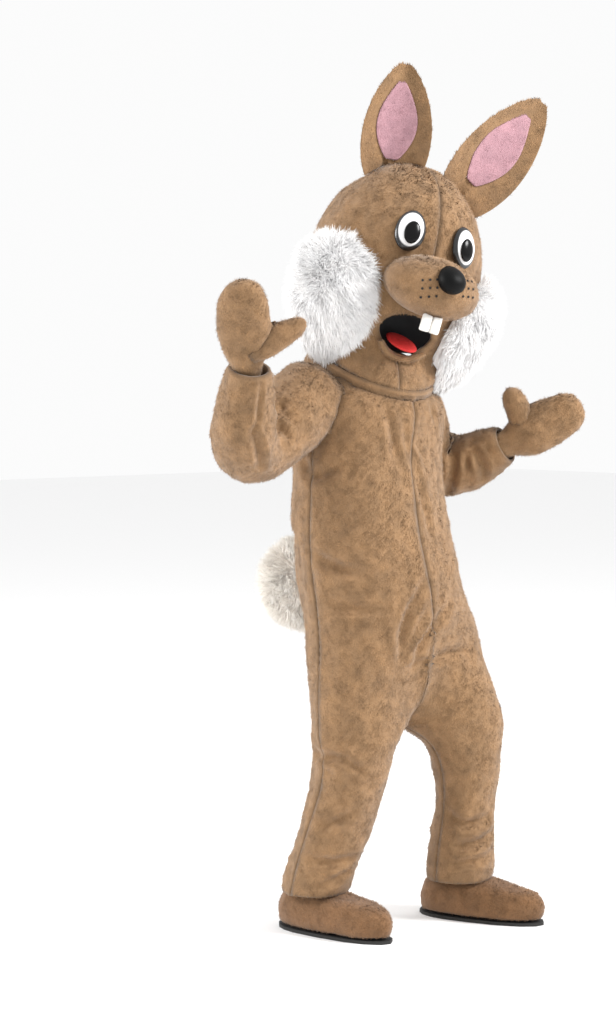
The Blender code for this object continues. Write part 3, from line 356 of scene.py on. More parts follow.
class StudioSettings(bpy.types.PropertyGroup):
    """Camera, floor, lights and surroundings"""
    camera_place: bpy.props.FloatVectorProperty(
        name="Camera", description="Place of the camera", size=3, subtype='TRANSLATION',
        default=(-3.6122, -3.7406, 0.0))
    lens: bpy.props.FloatProperty(
        name="Lens", description="Focal length in millimetres", default=76.6, min=20.0, max=200.0)
    floor_size: bpy.props.FloatProperty(
        name="Floor", description="Side of the floor", default=40.0, min=4.0, unit='LENGTH')
    key_power: bpy.props.FloatProperty(
        name="Key light", description="Power of the main soft light", default=360.0, min=0.0)
    fill_power: bpy.props.FloatProperty(
        name="Fill light", description="Power of the soft light from behind", default=150.0, min=0.0)
    backdrop: bpy.props.FloatProperty(
        name="Backdrop", description="Brightness of the pale surroundings", default=0.97, min=0.0, max=3.0)


# Materials

def shader_of(name, roughness, sheen=0.0, coat=0.0):
    """A new material with its Principled shader, whose plain values are set on its own sockets."""
    made = bpy.data.materials.new(name)
    made.use_nodes = True
    shader = made.node_tree.nodes["Principled BSDF"]
    shader.inputs["Roughness"].default_value = roughness
    shader.inputs["Sheen Weight"].default_value = sheen
    shader.inputs["Sheen Roughness"].default_value = 0.5
    shader.inputs["Coat Weight"].default_value = coat
    return made, shader


def value_of(tree, name):
    """The value that each of a piece's vertices holds under a name."""
    value = tree.nodes.new("ShaderNodeAttribute")
    value.attribute_name = name
    return value.outputs["Fac"]


def noise(tree, scale, detail, roughness=0.5):
    """A noise on the piece's own Object coordinates."""
    place = tree.nodes.new("ShaderNodeTexCoord")
    made = tree.nodes.new("ShaderNodeTexNoise")
    made.inputs["Scale"].default_value = scale
    made.inputs["Detail"].default_value = detail
    made.inputs["Roughness"].default_value = roughness
    tree.links.new(place.outputs["Object"], made.inputs["Vector"])
    return made.outputs["Fac"]


def ramp(tree, source, stops):
    """A colour ramp over a value, from a short list of places and colours."""
    made = tree.nodes.new("ShaderNodeValToRGB")
    elements = made.color_ramp.elements
    for i, (place, colour) in enumerate(stops):
        element = elements[i] if i < 2 else elements.new(place)
        element.position = place
        element.color = (*colour, 1.0)
    tree.links.new(source, made.inputs["Fac"])
    return made.outputs["Color"]


def multiplied(tree, first, second):
    """The product of two colours."""
    mix = tree.nodes.new("ShaderNodeMix")
    mix.data_type = 'RGBA'
    mix.blend_type = 'MULTIPLY'
    mix.inputs["Factor"].default_value = 1.0
    tree.links.new(first, mix.inputs["A"])
    tree.links.new(second, mix.inputs["B"])
    return mix.outputs["Result"]


def bump_node(tree, shader, source, strength, distance):
    """A bump from a value into the shader's normal."""
    bump = tree.nodes.new("ShaderNodeBump")
    bump.inputs["Strength"].default_value = strength
    bump.inputs["Distance"].default_value = distance
    tree.links.new(source, bump.inputs["Height"])
    tree.links.new(bump.outputs["Normal"], shader.inputs["Normal"])


def plush_material(name, colour, shaded_root_share, lit_tip_share, blotch):
    """Pile cloth: painted shade at the roots, painted light at the tips, painted shade near seams by its
    tone, mottled where it was brushed.
    """
    made, shader = shader_of(name, 0.9, sheen=0.22)
    tree = made.node_tree
    # Painted shade towards the strands' roots and painted light towards their tips, by the tip value
    shades = ramp(tree, value_of(tree, "tip"), [
        (0.0, [value * shaded_root_share for value in colour]),
        (1.0, [min(value * lit_tip_share, 1.0) for value in colour]),
        (0.45, colour),
    ])
    # Tone ramp: random tone of the strands, and painted shade near seams
    tones = ramp(tree, value_of(tree, "tone"), [(0.0, (1 - blotch,) * 3), (1.0, (1 + blotch * 0.6,) * 3)])
    mottles = ramp(tree, noise(tree, 24.0, 4.0, 0.6), [(0.32, (1 - blotch,) * 3), (0.68, (1.06, 1.05, 1.04))])
    tree.links.new(multiplied(tree, multiplied(tree, shades, tones), mottles), shader.inputs["Base Color"])
    bump_node(tree, shader, noise(tree, 260.0, 4.0, 0.65), 0.6, 0.003)
    return made


def plain_material(name, colour, roughness, grain, depth, shine=0.5):
    """Felt, foam or moulded trim: slight colour drift and a fine grain."""
    made, shader = shader_of(name, roughness)
    shader.inputs["Specular IOR Level"].default_value = shine
    tree = made.node_tree
    shades = ramp(tree, noise(tree, grain * 0.12, 3.0), [(0.3, [value * 0.88 for value in colour]),
                                                         (0.7, [min(value * 1.06, 1.0) for value in colour])])
    tree.links.new(shades, shader.inputs["Base Color"])
    bump_node(tree, shader, noise(tree, grain, 2.0), 0.4, depth)
    return made


def floor_material(name, colour):
    """Plain pale paper with a very fine grain."""
    made, shader = shader_of(name, 0.95)
    shader.inputs["Base Color"].default_value = (*colour, 1.0)
    bump_node(made.node_tree, shader, noise(made.node_tree, 900.0, 2.0), 0.1, 0.0001)
    return made


def rimmed_material(name, colour, rim_colour):
    """Eye white with a dark felt border, by the piece's own rim attribute."""
    made, shader = shader_of(name, 0.25, coat=0.4)
    tree = made.node_tree
    shades = ramp(tree, value_of(tree, "rim"), [(0.78, colour), (0.84, rim_colour)])
    cloud = ramp(tree, noise(tree, 60.0, 2.0), [(0.3, (0.95, 0.95, 0.96)), (0.7, (1, 1, 1))])
    tree.links.new(multiplied(tree, shades, cloud), shader.inputs["Base Color"])
    return made


def finish(name):
    """A named finish, made once."""
    made = bpy.data.materials.get(name)
    if made:
        return made
    cloth = bpy.context.scene.costume_cloth
    pile = bpy.context.scene.costume_pile
    makers = {
        "tan_plush": lambda: plush_material(name, tuple(cloth.tan), 0.62, 1.30, 0.26),
        "shoe_plush": lambda: plush_material(name, tuple(cloth.shoe), 0.62, 1.30, 0.24),
        "pink_plush": lambda: plush_material(name, tuple(cloth.pink), 0.62, 1.20, 0.14),
        "white_fur": lambda: plush_material(name, tuple(pile.white), 0.95, 1.04, 0.03),
        "tail_fur": lambda: plush_material(name, tuple(pile.tail), 0.95, 1.06, 0.03),
        "black_felt": lambda: plain_material(name, (0.010, 0.010, 0.011), 0.85, 900.0, 0.0006),
        "black_gloss": lambda: plain_material(name, (0.002, 0.002, 0.002), 0.22, 300.0, 0.0001, 0.2),
        "nose_black": lambda: plain_material(name, (0.003, 0.003, 0.003), 0.50, 700.0, 0.0005, 0.12),
        "sole_rubber": lambda: plain_material(name, (0.018, 0.017, 0.016), 0.7, 500.0, 0.0006),
        "red_felt": lambda: plain_material(name, (0.62, 0.022, 0.020), 0.8, 900.0, 0.0006),
        "tooth_foam": lambda: plain_material(name, (0.86, 0.84, 0.80), 0.55, 400.0, 0.0004),
        "eye_white": lambda: rimmed_material(name, (0.88, 0.88, 0.88), (0.010, 0.010, 0.011)),
        "pale_floor": lambda: floor_material(name, (0.93, 0.93, 0.93)),
    }
    return makers[name]()


# Shapes

def merged_copy(node):
    """A CAD node's mesh with its loose triangles merged and joined to four-sided faces where they fit."""
    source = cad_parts[node]
    shape = bmesh.new()
    shape.from_mesh(source.data)
    shape.transform(source.matrix_world)
    bmesh.ops.remove_doubles(shape, verts=shape.verts, dist=MERGE_WITHIN)
    bmesh.ops.join_triangles(shape, faces=shape.faces, angle_face_threshold=math.radians(JOIN_FLAT),
                             angle_shape_threshold=math.radians(JOIN_SQUARE))
    return shape


def near_line(points, line):
    """The nearest point of an inner line to each point."""
    line = np.array(line)
    best = np.full(len(points), np.inf)
    found = np.zeros_like(points)
    for a, b in zip(line, line[1:]):
        run = b - a
        share = np.clip((points - a) @ run / (run @ run), 0, 1)
        spot = a + share[:, None] * run
        far = np.linalg.norm(points - spot, axis=1)
        closer = far < best
        best[closer] = far[closer]
        found[closer] = spot[closer]
    return found


def keep_outer(shape, line):
    """Leaves the faces that look away from the inner line."""
    shape.faces.ensure_lookup_table()
    middles = np.array([face.calc_center_median()[:] for face in shape.faces])
    normals = np.array([face.normal[:] for face in shape.faces])
    out = middles - near_line(middles, line)
    out /= np.maximum(np.linalg.norm(out, axis=1), 1e-9)[:, None]
    facing = (out * normals).sum(1)
    drop = [face for face, value in zip(shape.faces, facing) if value < OUTER_FACING]
    bmesh.ops.delete(shape, geom=drop, context='FACES')


def rounded(shape, name, levels):
    """The shape divided and smoothed by a Subdivision Surface, with its corners kept."""
    mesh = bpy.data.meshes.new(name + "_coarse")
    shape.to_mesh(mesh)
    shape.free()
    thing = bpy.data.objects.new(name + "_coarse", mesh)
    bpy.context.collection.objects.link(thing)
    change = thing.modifiers.new("round", 'SUBSURF')
    change.levels = levels
    change.render_levels = levels
    change.boundary_smooth = 'PRESERVE_CORNERS'
    graph = bpy.context.evaluated_depsgraph_get()
    fine = bmesh.new()
    fine.from_mesh(thing.evaluated_get(graph).to_mesh())
    bpy.data.objects.remove(thing, do_unlink=True)
    bpy.data.meshes.remove(mesh)
    return fine


def waves(points, seed, size):
    """A smooth field of values between about -1 and 1 over points, with waves of the given size."""
    rng = np.random.default_rng(seed)
    total = np.zeros(len(points))
    for _ in range(WAVE_COUNT):
        way = rng.normal(size=3)
        way *= 2 * math.pi / size / np.linalg.norm(way) * rng.uniform(*WAVE_SPREAD)
        total += np.sin(points @ way + rng.uniform(0, 2 * math.pi))
    return total / WAVE_SUM


def crease_push(points, line, width):
    """Share of a crease's depth at each point: a trough with soft banks beside it, faded at its ends."""
    line = np.array(line)
    lengths = np.linalg.norm(np.diff(line, axis=0), axis=1)
    whole = lengths.sum()
    best = np.full(len(points), np.inf)
    along = np.zeros(len(points))
    start = 0.0
    for a, b, length in zip(line, line[1:], lengths):
        run = b - a
        share = np.clip((points - a) @ run / (run @ run), 0, 1)
        far = np.linalg.norm(points - a - share[:, None] * run, axis=1)
        closer = far < best
        best[closer] = far[closer]
        along[closer] = (start + share[closer] * length) / whole
        start += length
    reach = best / width
    inside = np.clip(along, END_CLIP, 1 - END_CLIP)
    fade = END_DEPTH + (1 - END_DEPTH) * np.sin(math.pi * inside) ** END_ROUND
    banks = BANK_HEIGHT * np.exp(-((reach - BANK_PLACE) / BANK_WIDTH) ** 2)
    return fade * (np.exp(-reach ** 2) - banks)


def vertex_arrays(shape):
    """Places and normals of a shape's vertices."""
    shape.verts.ensure_lookup_table()
    shape.normal_update()
    places = np.array([vert.co[:] for vert in shape.verts])
    return places, np.array([vert.normal[:] for vert in shape.verts])


def place_vertices(shape, places):
    """Moves a shape's vertices to new places."""
    for vert, place in zip(shape.verts, places):
        vert.co = place


def tree_of(spots):
    """A tree that finds the nearest of some places."""
    tree = KDTree(len(spots))
    for i, spot in enumerate(spots):
        tree.insert(spot, i)
    tree.balance()
    return tree


def laid_on(points, shells):
    """A crease's line in short steps, each laid on the nearest of the shells."""
    points = [Vector(point) for point in metres(points)]
    line = []
    for a, b in zip(points, points[1:]):
        steps = max(int((b - a).length / CREASE_STEP), 1)
        line += [a.lerp(b, k / steps) for k in range(steps)]
    line.append(points[-1])
    laid = []
    for spot in line:
        hits = [shell.find_nearest(spot) for shell in shells]
        laid.append(min(hits, key=lambda hit: hit[3])[0][:])
    return laid


# A group of cloths: their open shells, creases, all places along their rims and the normals there
Group = namedtuple("Group", "shapes lines rims normals")


def cut_group(cloths):
    """A group of cloths, cut to open shells, with its creases laid on them."""
    shapes = {}
    for cloth in cloths:
        shape = merged_copy(cloth.node)
        keep_outer(shape, cloth.line)
        shapes[cloth.node] = rounded(shape, cloth.node, cloth.levels)
    shells = {node: BVHTree.FromBMesh(shape) for node, shape in shapes.items()}
    lines = []
    for crease in CREASES:
        under = [shells[node] for node in crease.pieces if node in shells]
        if under:
            lines.append((crease, laid_on(crease.points, under)))
    rim = []
    for shape in shapes.values():
        shape.normal_update()
        rim += [(vert.co.copy(), vert.normal.copy()) for vert in shape.verts if vert.is_boundary]
    return Group(shapes, lines, tree_of([spot for spot, _ in rim]), [normal for _, normal in rim])


def shared_normals(places, normals, seam, group):
    """Normals that turn to the mean of all pieces meeting at a seam, so that pushed edges stay together."""
    for i in np.nonzero(seam > SEAM_SHARED)[0]:
        near = group.rims.find_range(Vector(places[i]), SEAM_REACH)
        if not near:
            near = [group.rims.find(Vector(places[i]))]
        total = Vector()
        for _, k, _ in near:
            total += group.normals[k]
        # The mean is short where the pieces face each other, and their edges are hardly pushed there
        normals[i] = normals[i] * (1 - seam[i]) + np.array(total / len(near)) * seam[i]
    return normals


def turn_in(shape, group):
    """Turns a narrow seam allowance inwards along the open edges."""
    rim = [edge for edge in shape.edges if edge.is_boundary]
    made = bmesh.ops.extrude_edge_only(shape, edges=rim)
    for vert in made["geom"]:
        if isinstance(vert, bmesh.types.BMVert):
            vert.co -= group.normals[group.rims.find(vert.co)[1]] * ALLOWANCE


def seam_share(shape, places, width=SEAM_WIDTH):
    """How near each vertex lies to the edge of the open shell, from 1 on it to 0 away from it."""
    rim = [vert.co for vert in shape.verts if vert.is_boundary]
    if not rim:
        return np.zeros(len(places))
    tree = tree_of(rim)
    far = np.array([tree.find(place)[2] for place in places])
    return np.exp(-(far / width) ** 2)


def press_cloth(shape, node, inset, group):
    """Pushes creases, seams and soft waves into an open shell, and draws it in under its pile."""
    settings = bpy.context.scene.costume_cloth
    creases = [(crease, line) for crease, line in group.lines if node in crease.pieces]
    places, _ = vertex_arrays(shape)
    close = np.zeros(len(places), bool)
    for crease, line in creases:
        close |= np.abs(crease_push(places, line, crease.width / 1000)) > CREASE_FINE
    close |= seam_share(shape, places) > SEAM_FINE
    edges = [edge for edge in shape.edges if close[edge.verts[0].index] and close[edge.verts[1].index]]
    bmesh.ops.subdivide_edges(shape, edges=edges, cuts=1, use_grid_fill=True)
    places, normals = vertex_arrays(shape)
    push = settings.unevenness * waves(places, *BROAD_WAVES)
    push += SMALL_SHARE * settings.unevenness * waves(places, *SMALL_WAVES)
    for crease, line in creases:
        depth = crease.depth / 1000 * settings.crease_depth
        push += depth * crease_push(places, line, crease.width / 1000)
    seam = seam_share(shape, places)
    push *= 1 - CALM_SHARE * seam_share(shape, places, SEAM_CALM)
    push += inset + SEAM_DEPTH * seam
    normals = shared_normals(places, normals, seam, group)
    place_vertices(shape, places - normals * push[:, None])
    return seam


def ride_piece(name, mesh, finish_name):
    """A mesh's object at the origin, riding on the body."""
    made = bpy.data.objects.new(name, mesh)
    bpy.context.collection.objects.link(made)
    mesh.materials.append(finish(finish_name))
    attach(made, "root")
    return made


def add_piece(name, shape, finish_name):
    """A finished piece from a shape, smooth all over."""
    mesh = bpy.data.meshes.new(name)
    shape.to_mesh(mesh)
    shape.free()
    mesh.shade_smooth()
    return ride_piece(name, mesh, finish_name)


def stand_in(name, shape, finish_name, node, sharp=None):
    """A finished piece that replaces its CAD node, with edges kept sharp from an angle on."""
    made = add_piece(name, shape, finish_name)
    if sharp is not None:
        made.data.set_sharp_from_angle(angle=math.radians(sharp))
    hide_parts(node)
    return made


def set_values(mesh, name, values):
    """A value for each vertex that a material reads."""
    layer = mesh.attributes.new(name, 'FLOAT', 'POINT')
    layer.data.foreach_set("value", np.asarray(values, dtype=np.float32))


def surface_arrays(shape):
    """Corner indices of a shape's triangles, with its vertices' places and normals."""
    places, normals = vertex_arrays(shape)
    corners = [[loop.vert.index for loop in loops] for loops in shape.calc_loop_triangles()]
    return np.array(corners), places, normals


def steady(way):
    """A flow that is the same all over a piece."""
    def flow(spots):
        return np.tile(np.array(way), (len(spots), 1))
    return flow


def blend(values, corners, shares):
    """Values at the corners of each spot's triangle, blended at the spot."""
    w, u, v = shares if values.ndim == 1 else [share[:, None] for share in shares]
    return values[corners[:, 0]] * w + values[corners[:, 1]] * u + values[corners[:, 2]] * v


def scatter(surface, density, rng, line, seam, bare):
    """Random spots on a surface, with its normal and its nearness to a seam at each."""
    corners, places, normals = surface
    a, b, c = (places[corners[:, k]] for k in range(3))
    facet = np.cross(b - a, c - a)
    area = np.linalg.norm(facet, axis=1) / 2
    middles = (a + b + c) / 3
    if line is not None:
        area = np.where(((middles - near_line(middles, line)) * facet).sum(1) > 0, area, 0.0)
    if bare is not None:
        area = np.where(bare(middles), 0.0, area)
    count = int(area.sum() * 1e4 * density * bpy.context.scene.costume_pile.density_scale)
    corners = corners[rng.choice(len(area), size=count, p=area / area.sum())]
    u, v = rng.random(count), rng.random(count)
    over = u + v > 1
    u[over], v[over] = 1 - u[over], 1 - v[over]
    shares = (1 - u - v, u, v)
    n = blend(normals, corners, shares)
    n /= np.linalg.norm(n, axis=1)[:, None]
    near = np.zeros(count) if seam is None else blend(seam, corners, shares)
    return blend(places, corners, shares), n, near


def strand_ways(spots, n, pile, rng, seed, flow):
    """The way in which each strand stands: off the cloth and along the flow, with clumps and strays."""
    comb = flow(spots)
    comb -= n * (comb * n).sum(1)[:, None]
    swirl = np.stack([waves(spots, seed + SWIRL_SEED + k, pile.clump) for k in range(3)], axis=1)
    loose = rng.normal(size=spots.shape) * STRAY_WEIGHT
    way = n * pile.stand + comb * COMB_WEIGHT + (swirl * CLUMP_WEIGHT + loose) * pile.mess
    way += n * np.maximum(LEAST_RISE - (way * n).sum(1), 0)[:, None]
    return way / np.linalg.norm(way, axis=1)[:, None]


def strand_mesh(name, rows, segments):
    """One mesh of flat strands, each a strip of vertex pairs that ends in a tip."""
    verts = np.stack(rows, axis=1).reshape(-1, 3)
    top = 2 * (segments - 1)
    strip = []
    for low in range(0, top, 2):
        strip += [(low, low + 1, low + 3), (low, low + 3, low + 2)]
    strip.append((top, top + 1, top + 2))
    faces = (np.arange(len(rows[0]))[:, None, None] * len(rows) + np.array(strip)).reshape(-1, 3)
    mesh = bpy.data.meshes.new(name)
    mesh.vertices.add(len(verts))
    mesh.vertices.foreach_set("co", verts.astype(np.float32).ravel())
    mesh.loops.add(faces.size)
    mesh.loops.foreach_set("vertex_index", faces.astype(np.int32).ravel())
    mesh.polygons.add(len(faces))
    mesh.polygons.foreach_set("loop_start", np.arange(0, faces.size, 3, dtype=np.int32))
    mesh.update(calc_edges=True)
    mesh.shade_smooth()
    return mesh


def grow_pile(name, surface, pile, finish_name, seed, line=None, seam=None, flow=None, bare=None):
    """Joined strands scattered over a surface, combed along a flow and clumped by soft waves."""
    settings = bpy.context.scene.costume_pile
    rng = np.random.default_rng(settings.seed + seed)
    spots, n, near = scatter(surface, pile.density, rng, line, seam, bare)
    count = len(spots)
    way = strand_ways(spots, n, pile, rng, seed, flow or steady(COMB))
    length = pile.length * settings.length_scale * (1 - SEAM_SHORTER * near) * rng.uniform(*LENGTHS, count)
    aside = np.cross(way, n)
    aside /= np.maximum(np.linalg.norm(aside, axis=1), 1e-6)[:, None]
    roll = rng.normal(size=count) * pile.roll
    aside = aside * np.cos(roll)[:, None] + np.cross(way, aside) * np.sin(roll)[:, None]
    half = aside * (pile.width / 2 * rng.uniform(*WIDTHS, count))[:, None]
    root = spots - n * ROOT_SINK
    rows, tips = [], []
    for k in range(pile.segments):
        share = k / pile.segments
        middle = root + way * (length * share)[:, None] - n * (length * DROOP * share * share)[:, None]
        taper = 1 - TAPER * share
        rows += [middle - half * taper, middle + half * taper]
        tips += [share, share]
    rows.append(root + way * length[:, None] - n * (length * DROOP)[:, None])
    tips.append(1.0)
    mesh = strand_mesh(name, rows, pile.segments)
    if pile.segments == 1:
        lean = n + way * SHADE_LEAN
        lean /= np.linalg.norm(lean, axis=1)[:, None]
        mesh.normals_split_custom_set_from_vertices(np.repeat(lean, len(rows), axis=0))
    # Tip value from root to tip, which the material turns into painted shade at the roots and painted light
    # at the tips
    set_values(mesh, "tip", np.tile(tips, count))
    tone = TONE + TONE_WAVES * waves(spots, seed + TONE_SEED, TONE_SIZE)
    tone += rng.normal(size=count) * TONE_SCATTER
    # Painted shade: strands near a seam take a darker tone
    tone -= SEAM_PAINTED_SHADE * near
    set_values(mesh, "tone", np.repeat(np.clip(tone, 0, 1), len(rows)))
    return ride_piece(name, mesh, finish_name)


def shell_values(mesh, tip, seam=()):
    """Tip and tone of a shell's own surface: painted shade at the roots of its pile, deepest painted shade at
    its seams.
    """
    count = len(mesh.vertices)
    dark = np.ones(count) if len(seam) else np.zeros(count)
    dark[:len(seam)] = seam
    set_values(mesh, "tip", tip * (1 - dark))
    set_values(mesh, "tone", SHELL_TONE * (1 - dark))


def dress_cloth(cloth, finish_name, seed, group):
    """A cloth shell with its pile, standing for its CAD node."""
    pile = PILES[cloth.pile]
    shape = group.shapes[cloth.node]
    seam = press_cloth(shape, cloth.node, pile.inset, group)
    surface = surface_arrays(shape)
    strands = grow_pile(cloth.node + "_pile", surface, pile, finish_name, seed, seam=seam)
    turn_in(shape, group)
    made = stand_in(cloth.node + "_cloth", shape, finish_name, cloth.node)
    shell_values(made.data, CLOTH_TIP, seam)
    wall = made.modifiers.new("wall", 'SOLIDIFY')
    wall.thickness = SHELL_THICK
    wall.offset = -1.0


def dress_group(cloths, finish_name, seed):
    """All cloths of a group, cut first so that their seams stay together."""
    group = cut_group(cloths)
    for i, cloth in enumerate(cloths):
        dress_cloth(cloth, finish_name, seed + i, group)


def smooth_solid(node, levels, anchor=None, scale=1.0):
    """A rounded copy of a closed CAD node, scaled about an anchor to leave room for fur or to close a gap."""
    shape = merged_copy(node)
    if anchor is not None:
        for vert in shape.verts:
            vert.co = Vector(anchor).lerp(vert.co, scale)
    for edge in shape.edges:
        edge.smooth = True
    return rounded(shape, node, levels)


def box_of(node):
    """Both corners of a CAD node's box."""
    return [Vector(corner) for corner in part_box(node)]


def dot_places(pad):
    """Places and facings of the whisker dots on the muzzle, in regular rows beside the nose."""
    shell = BVHTree.FromBMesh(pad)
    nose, muzzle = (sum(box_of(node), Vector()) / 2 for node in ("nose", "muzzle"))
    facing = (nose - muzzle).normalized()
    aside = facing.cross(Vector((0.0, 0.0, 1.0))).normalized()
    up = aside.cross(facing)
    found = []
    for side in (-1, 1):
        for height in DOT_ROWS:
            for away in DOT_COLUMNS:
                start = nose + facing * DOT_CAST + aside * side * away + up * height
                place, normal, _, _ = shell.ray_cast(start, -facing)
                if place is not None:
                    found.append((place, normal))
    return found


def add_dots(found):
    """One joined piece of small round felt dots."""
    shape = bmesh.new()
    for place, normal in found:
        turn = normal.to_track_quat('Z', 'Y').to_matrix().to_4x4()
        turn.translation = place + normal * DOT_LIFT
        bmesh.ops.create_cone(shape, cap_ends=True, segments=DOT_SIDES, radius1=DOT_RADIUS,
                              radius2=DOT_RADIUS * DOT_TAPER, depth=DOT_THICK, matrix=turn)
    dots = add_piece("whisker_dots", shape, "black_felt")
    dots.data.set_sharp_from_angle(angle=math.radians(DOT_SHARP))


def close_to(spots, reach):
    """A test for the places that lie within reach of any of the spots."""
    tree = tree_of(spots)

    def test(places):
        return np.array([tree.find(place)[2] < reach for place in places])
    return test


def dress_pad(node, seed):
    """A stuffed pad of the face with its pile, the muzzle with its whisker dots too."""
    pile = PILES["muzzle"]
    shape = smooth_solid(node, 2)
    places, normals = vertex_arrays(shape)
    place_vertices(shape, places - normals * pile.inset)
    surface = surface_arrays(shape)
    bare = None
    if node == "muzzle":
        dots = dot_places(shape)
        add_dots(dots)
        bare = close_to([place for place, _ in dots], DOT_RADIUS * DOT_BARE)
    grow_pile(node + "_pile", surface, pile, "tan_plush", seed, line=HEAD_LINE, bare=bare)
    made = stand_in(node + "_pad", shape, "tan_plush", node)
    shell_values(made.data, PAD_TIP)


def dress_ear(ear, lining, count):
    """A stuffed ear and its lining, each with its pile."""
    lining_shape = smooth_solid(lining, 1)
    lining_surface = surface_arrays(lining_shape)
    bare = close_to([vert.co for vert in lining_shape.verts], LINING_NEAR)
    low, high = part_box(ear)
    shape = smooth_solid(ear, 2, ((low[0] + high[0]) / 2, high[1], high[2]), EAR_STRETCH)
    grow_pile(ear + "_pile", surface_arrays(shape), PILES["ear"], "tan_plush", SEEDS["ear"] + count,
              flow=steady(EAR_COMB), bare=bare)
    pad = stand_in(ear + "_pad", shape, "tan_plush", ear)
    shell_values(pad.data, PAD_TIP)
    nap = grow_pile(lining + "_pile", lining_surface, PILES["lining"], "pink_plush",
                    SEEDS["lining"] + count, flow=steady(EAR_COMB))
    cloth = stand_in(lining + "_cloth", lining_shape, "pink_plush", lining)
    shell_values(cloth.data, LINING_TIP)


def fur_pad(node, anchor, scale, pile, finish_name, seed, flow, line):
    """A stuffed form, drawn in under long fur."""
    shape = smooth_solid(node, 2, anchor, scale)
    surface = surface_arrays(shape)
    grow_pile(node + "_fur", surface, PILES[pile], finish_name, seed, line=line, flow=flow)
    made = stand_in(node + "_pad", shape, finish_name, node)
    shell_values(made.data, FUR_TIP)


def away_from(centre, pull):
    """A flow that leads away from a centre, pulled down by the given share."""
    centre = np.array(centre)

    def flow(spots):
        out = spots - centre
        out /= np.maximum(np.linalg.norm(out, axis=1), 1e-6)[:, None]
        return out + np.array([0.0, 0.0, -pull])
    return flow


def rim_share(shape):
    """How far each vertex of an eye lies from its middle, from 0 to about 1 on its border."""
    places, _ = vertex_arrays(shape)
    centred = places - places.mean(0)
    _, axes = np.linalg.eigh(centred.T @ centred)
    wide, high = centred @ axes[:, 1], centred @ axes[:, 2]
    return np.hypot(wide / np.abs(wide).max(), high / np.abs(high).max())


# Operators

class COSTUME_OT_suit(bpy.types.Operator):
    """Front and back panels, sleeves, neck band and back placket, with their pile"""
    bl_idname = "costume.suit"
    bl_label = "Suit"

    def execute(self, context):
        dress_group(SUIT, "tan_plush", SEEDS["suit"])
        return {'FINISHED'}


class COSTUME_OT_head(bpy.types.Operator):
    """Both halves of the hollow head, its muzzle with whisker dots, lower lip and ears"""
    bl_idname = "costume.head"
    bl_label = "Head"

    def execute(self, context):
        dress_group(HEAD, "tan_plush", SEEDS["head"])
        for i, node in enumerate(("muzzle", "lower_lip")):
            dress_pad(node, SEEDS["pads"] + i)
        for i, side in enumerate(SIDES):
            dress_ear("ear_" + side, "ear_lining_" + side, i)
        return {'FINISHED'}


class COSTUME_OT_fur(bpy.types.Operator):
    """Long white fur of both cheeks, and the tail"""
    bl_idname = "costume.fur"
    bl_label = "Cheeks and tail"

    def execute(self, context):
        for i, side in enumerate(SIDES):
            low, high = box_of("cheek_" + side)
            middle = (low + high) / 2
            anchor = middle.lerp(Vector((*HEAD_AXIS, middle.z)), CHEEK_SHARE)
            fur_pad("cheek_" + side, anchor, CHEEK_SCALE, "cheek", "white_fur", SEEDS["cheek"] + i,
                    away_from(middle, CHEEK_PULL), HEAD_LINE)
        low, high = box_of("tail")
        middle = (low + high) / 2
        anchor = Vector((middle.x, low.y, middle.z))
        core = [middle, middle + Vector((0, TAIL_CORE, 0))]
        fur_pad("tail", anchor, TAIL_SCALE, "tail", "tail_fur", SEEDS["tail"],
                away_from(middle, TAIL_PULL), core)
        return {'FINISHED'}


class COSTUME_OT_mitts(bpy.types.Operator):
    """Both mitts with their thumbs"""
    bl_idname = "costume.mitts"
    bl_label = "Mitts"

    def execute(self, context):
        dress_group(MITTS, "tan_plush", SEEDS["mitts"])
        return {'FINISHED'}


class COSTUME_OT_shoes(bpy.types.Operator):
    """Both shoe covers with their soles"""
    bl_idname = "costume.shoes"
    bl_label = "Shoe covers"

    def execute(self, context):
        for side in SIDES:
            sole = "sole_" + side
            stand_in(sole + "_sheet", merged_copy(sole), "sole_rubber", sole, SOLE_SHARP)
        dress_group(SHOES, "shoe_plush", SEEDS["shoes"])
        return {'FINISHED'}


class COSTUME_OT_face(bpy.types.Operator):
    """Eyes, nose, mouth, tongue and teeth"""
    bl_idname = "costume.face"
    bl_label = "Face"

    def execute(self, context):
        for side in SIDES:
            eye, pupil, tooth = "eye_" + side, "pupil_" + side, "tooth_" + side
            shape = smooth_solid(eye, 2)
            far = rim_share(shape)
            white = stand_in(eye + "_white", shape, "eye_white", eye)
            set_values(white.data, "rim", far)
            stand_in(pupil + "_disc", smooth_solid(pupil, 2), "black_gloss", pupil)
            stand_in(tooth + "_foam", merged_copy(tooth), "tooth_foam", tooth, TOOTH_SHARP)
        for node, finish_name, scale in (("nose", "nose_black", 1.0),
                                         ("mouth_lining", "black_felt", MOUTH_STRETCH),
                                         ("tongue", "red_felt", 1.0)):
            low, high = box_of(node)
            anchor = ((low.x + high.x) / 2, low.y, (low.z + high.z) / 2)
            stand_in(node + "_form", smooth_solid(node, 2, anchor, scale), finish_name, node)
        return {'FINISHED'}


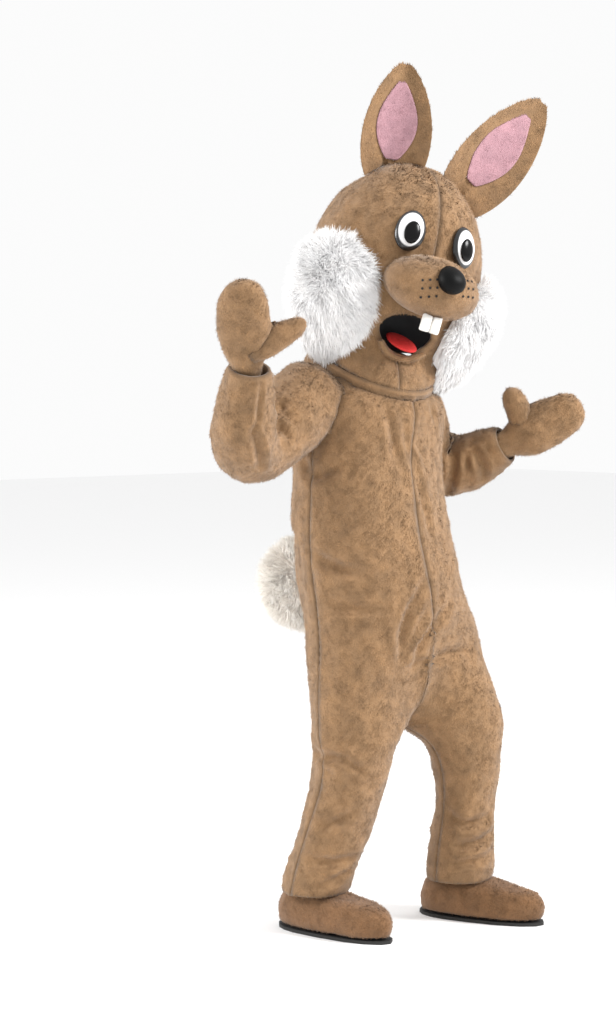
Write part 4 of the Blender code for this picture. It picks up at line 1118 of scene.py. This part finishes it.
class COSTUME_OT_stage(bpy.types.Operator):
    """Pale floor, soft studio lights and the camera"""
    bl_idname = "costume.stage"
    bl_label = "Studio"

    def execute(self, context):
        studio = context.scene.costume_studio
        shape = bmesh.new()
        bmesh.ops.create_grid(shape, x_segments=2, y_segments=2, size=studio.floor_size / 2)
        bmesh.ops.translate(shape, verts=shape.verts, vec=(0, 0, FLOOR))
        mesh = bpy.data.meshes.new("floor")
        shape.to_mesh(mesh)
        shape.free()
        floor = bpy.data.objects.new("floor", mesh)
        mesh.materials.append(finish("pale_floor"))
        context.collection.objects.link(floor)

        world = bpy.data.worlds.new("pale_surroundings")
        world.use_nodes = True
        sky = world.node_tree.nodes["Background"]
        sky.inputs["Color"].default_value = (1.0, 1.0, 1.0, 1.0)
        sky.inputs["Strength"].default_value = studio.backdrop
        context.scene.world = world
        context.scene.view_settings.view_transform = 'Standard'

        for name, place, size, power in (("key", KEY_PLACE, KEY_SIZE, studio.key_power),
                                         ("fill", FILL_PLACE, FILL_SIZE, studio.fill_power)):
            lamp = bpy.data.lights.new(name, 'AREA')
            lamp.shape = 'DISK'
            lamp.size = size
            lamp.energy = power
            thing = bpy.data.objects.new(name, lamp)
            thing.location = place
            thing.rotation_euler = (Vector(LIGHT_AIM) - Vector(place)).to_track_quat('-Z', 'Y').to_euler()
            context.collection.objects.link(thing)

        data = bpy.data.cameras.new("camera")
        data.lens = studio.lens
        camera = bpy.data.objects.new("camera", data)
        camera.location = studio.camera_place
        level = math.atan2(studio.camera_place[0], -studio.camera_place[1])
        camera.rotation_euler = (math.radians(90.0 - CAMERA_TILT), 0.0, level + math.radians(CAMERA_TURN))
        context.collection.objects.link(camera)
        context.scene.camera = camera
        return {'FINISHED'}


class COSTUME_PT_panel(bpy.types.Panel):
    """Sizes, colours and steps of the costume"""
    bl_idname = "COSTUME_PT_panel"
    bl_label = "Rabbit costume"
    bl_space_type = 'VIEW_3D'
    bl_region_type = 'UI'
    bl_category = "Costume"

    def draw(self, context):
        scene = context.scene
        for settings in (scene.costume_cloth, scene.costume_pile, scene.costume_studio):
            box = self.layout.box()
            for name in settings.__annotations__:
                box.prop(settings, name)
        for step in STEPS:
            self.layout.operator(step.bl_idname)


STEPS = (COSTUME_OT_stage, COSTUME_OT_shoes, COSTUME_OT_suit, COSTUME_OT_mitts, COSTUME_OT_head,
         COSTUME_OT_fur, COSTUME_OT_face)
CLASSES = (ClothSettings, PileSettings, StudioSettings, *STEPS, COSTUME_PT_panel)


def register():
    """Registers the classes and hangs the settings on the scene."""
    for item in CLASSES:
        bpy.utils.register_class(item)
    bpy.types.Scene.costume_cloth = bpy.props.PointerProperty(type=ClothSettings)
    bpy.types.Scene.costume_pile = bpy.props.PointerProperty(type=PileSettings)
    bpy.types.Scene.costume_studio = bpy.props.PointerProperty(type=StudioSettings)


def unregister():
    """Takes the settings and classes away again."""
    del bpy.types.Scene.costume_studio
    del bpy.types.Scene.costume_pile
    del bpy.types.Scene.costume_cloth
    for item in reversed(CLASSES):
        bpy.utils.unregister_class(item)


def main():
    """Builds the stage and every piece."""
    register()
    bpy.ops.costume.stage()
    bpy.ops.costume.shoes()
    bpy.ops.costume.suit()
    bpy.ops.costume.mitts()
    bpy.ops.costume.head()
    bpy.ops.costume.fur()
    bpy.ops.costume.face()


if __name__ == "__main__":
    main()
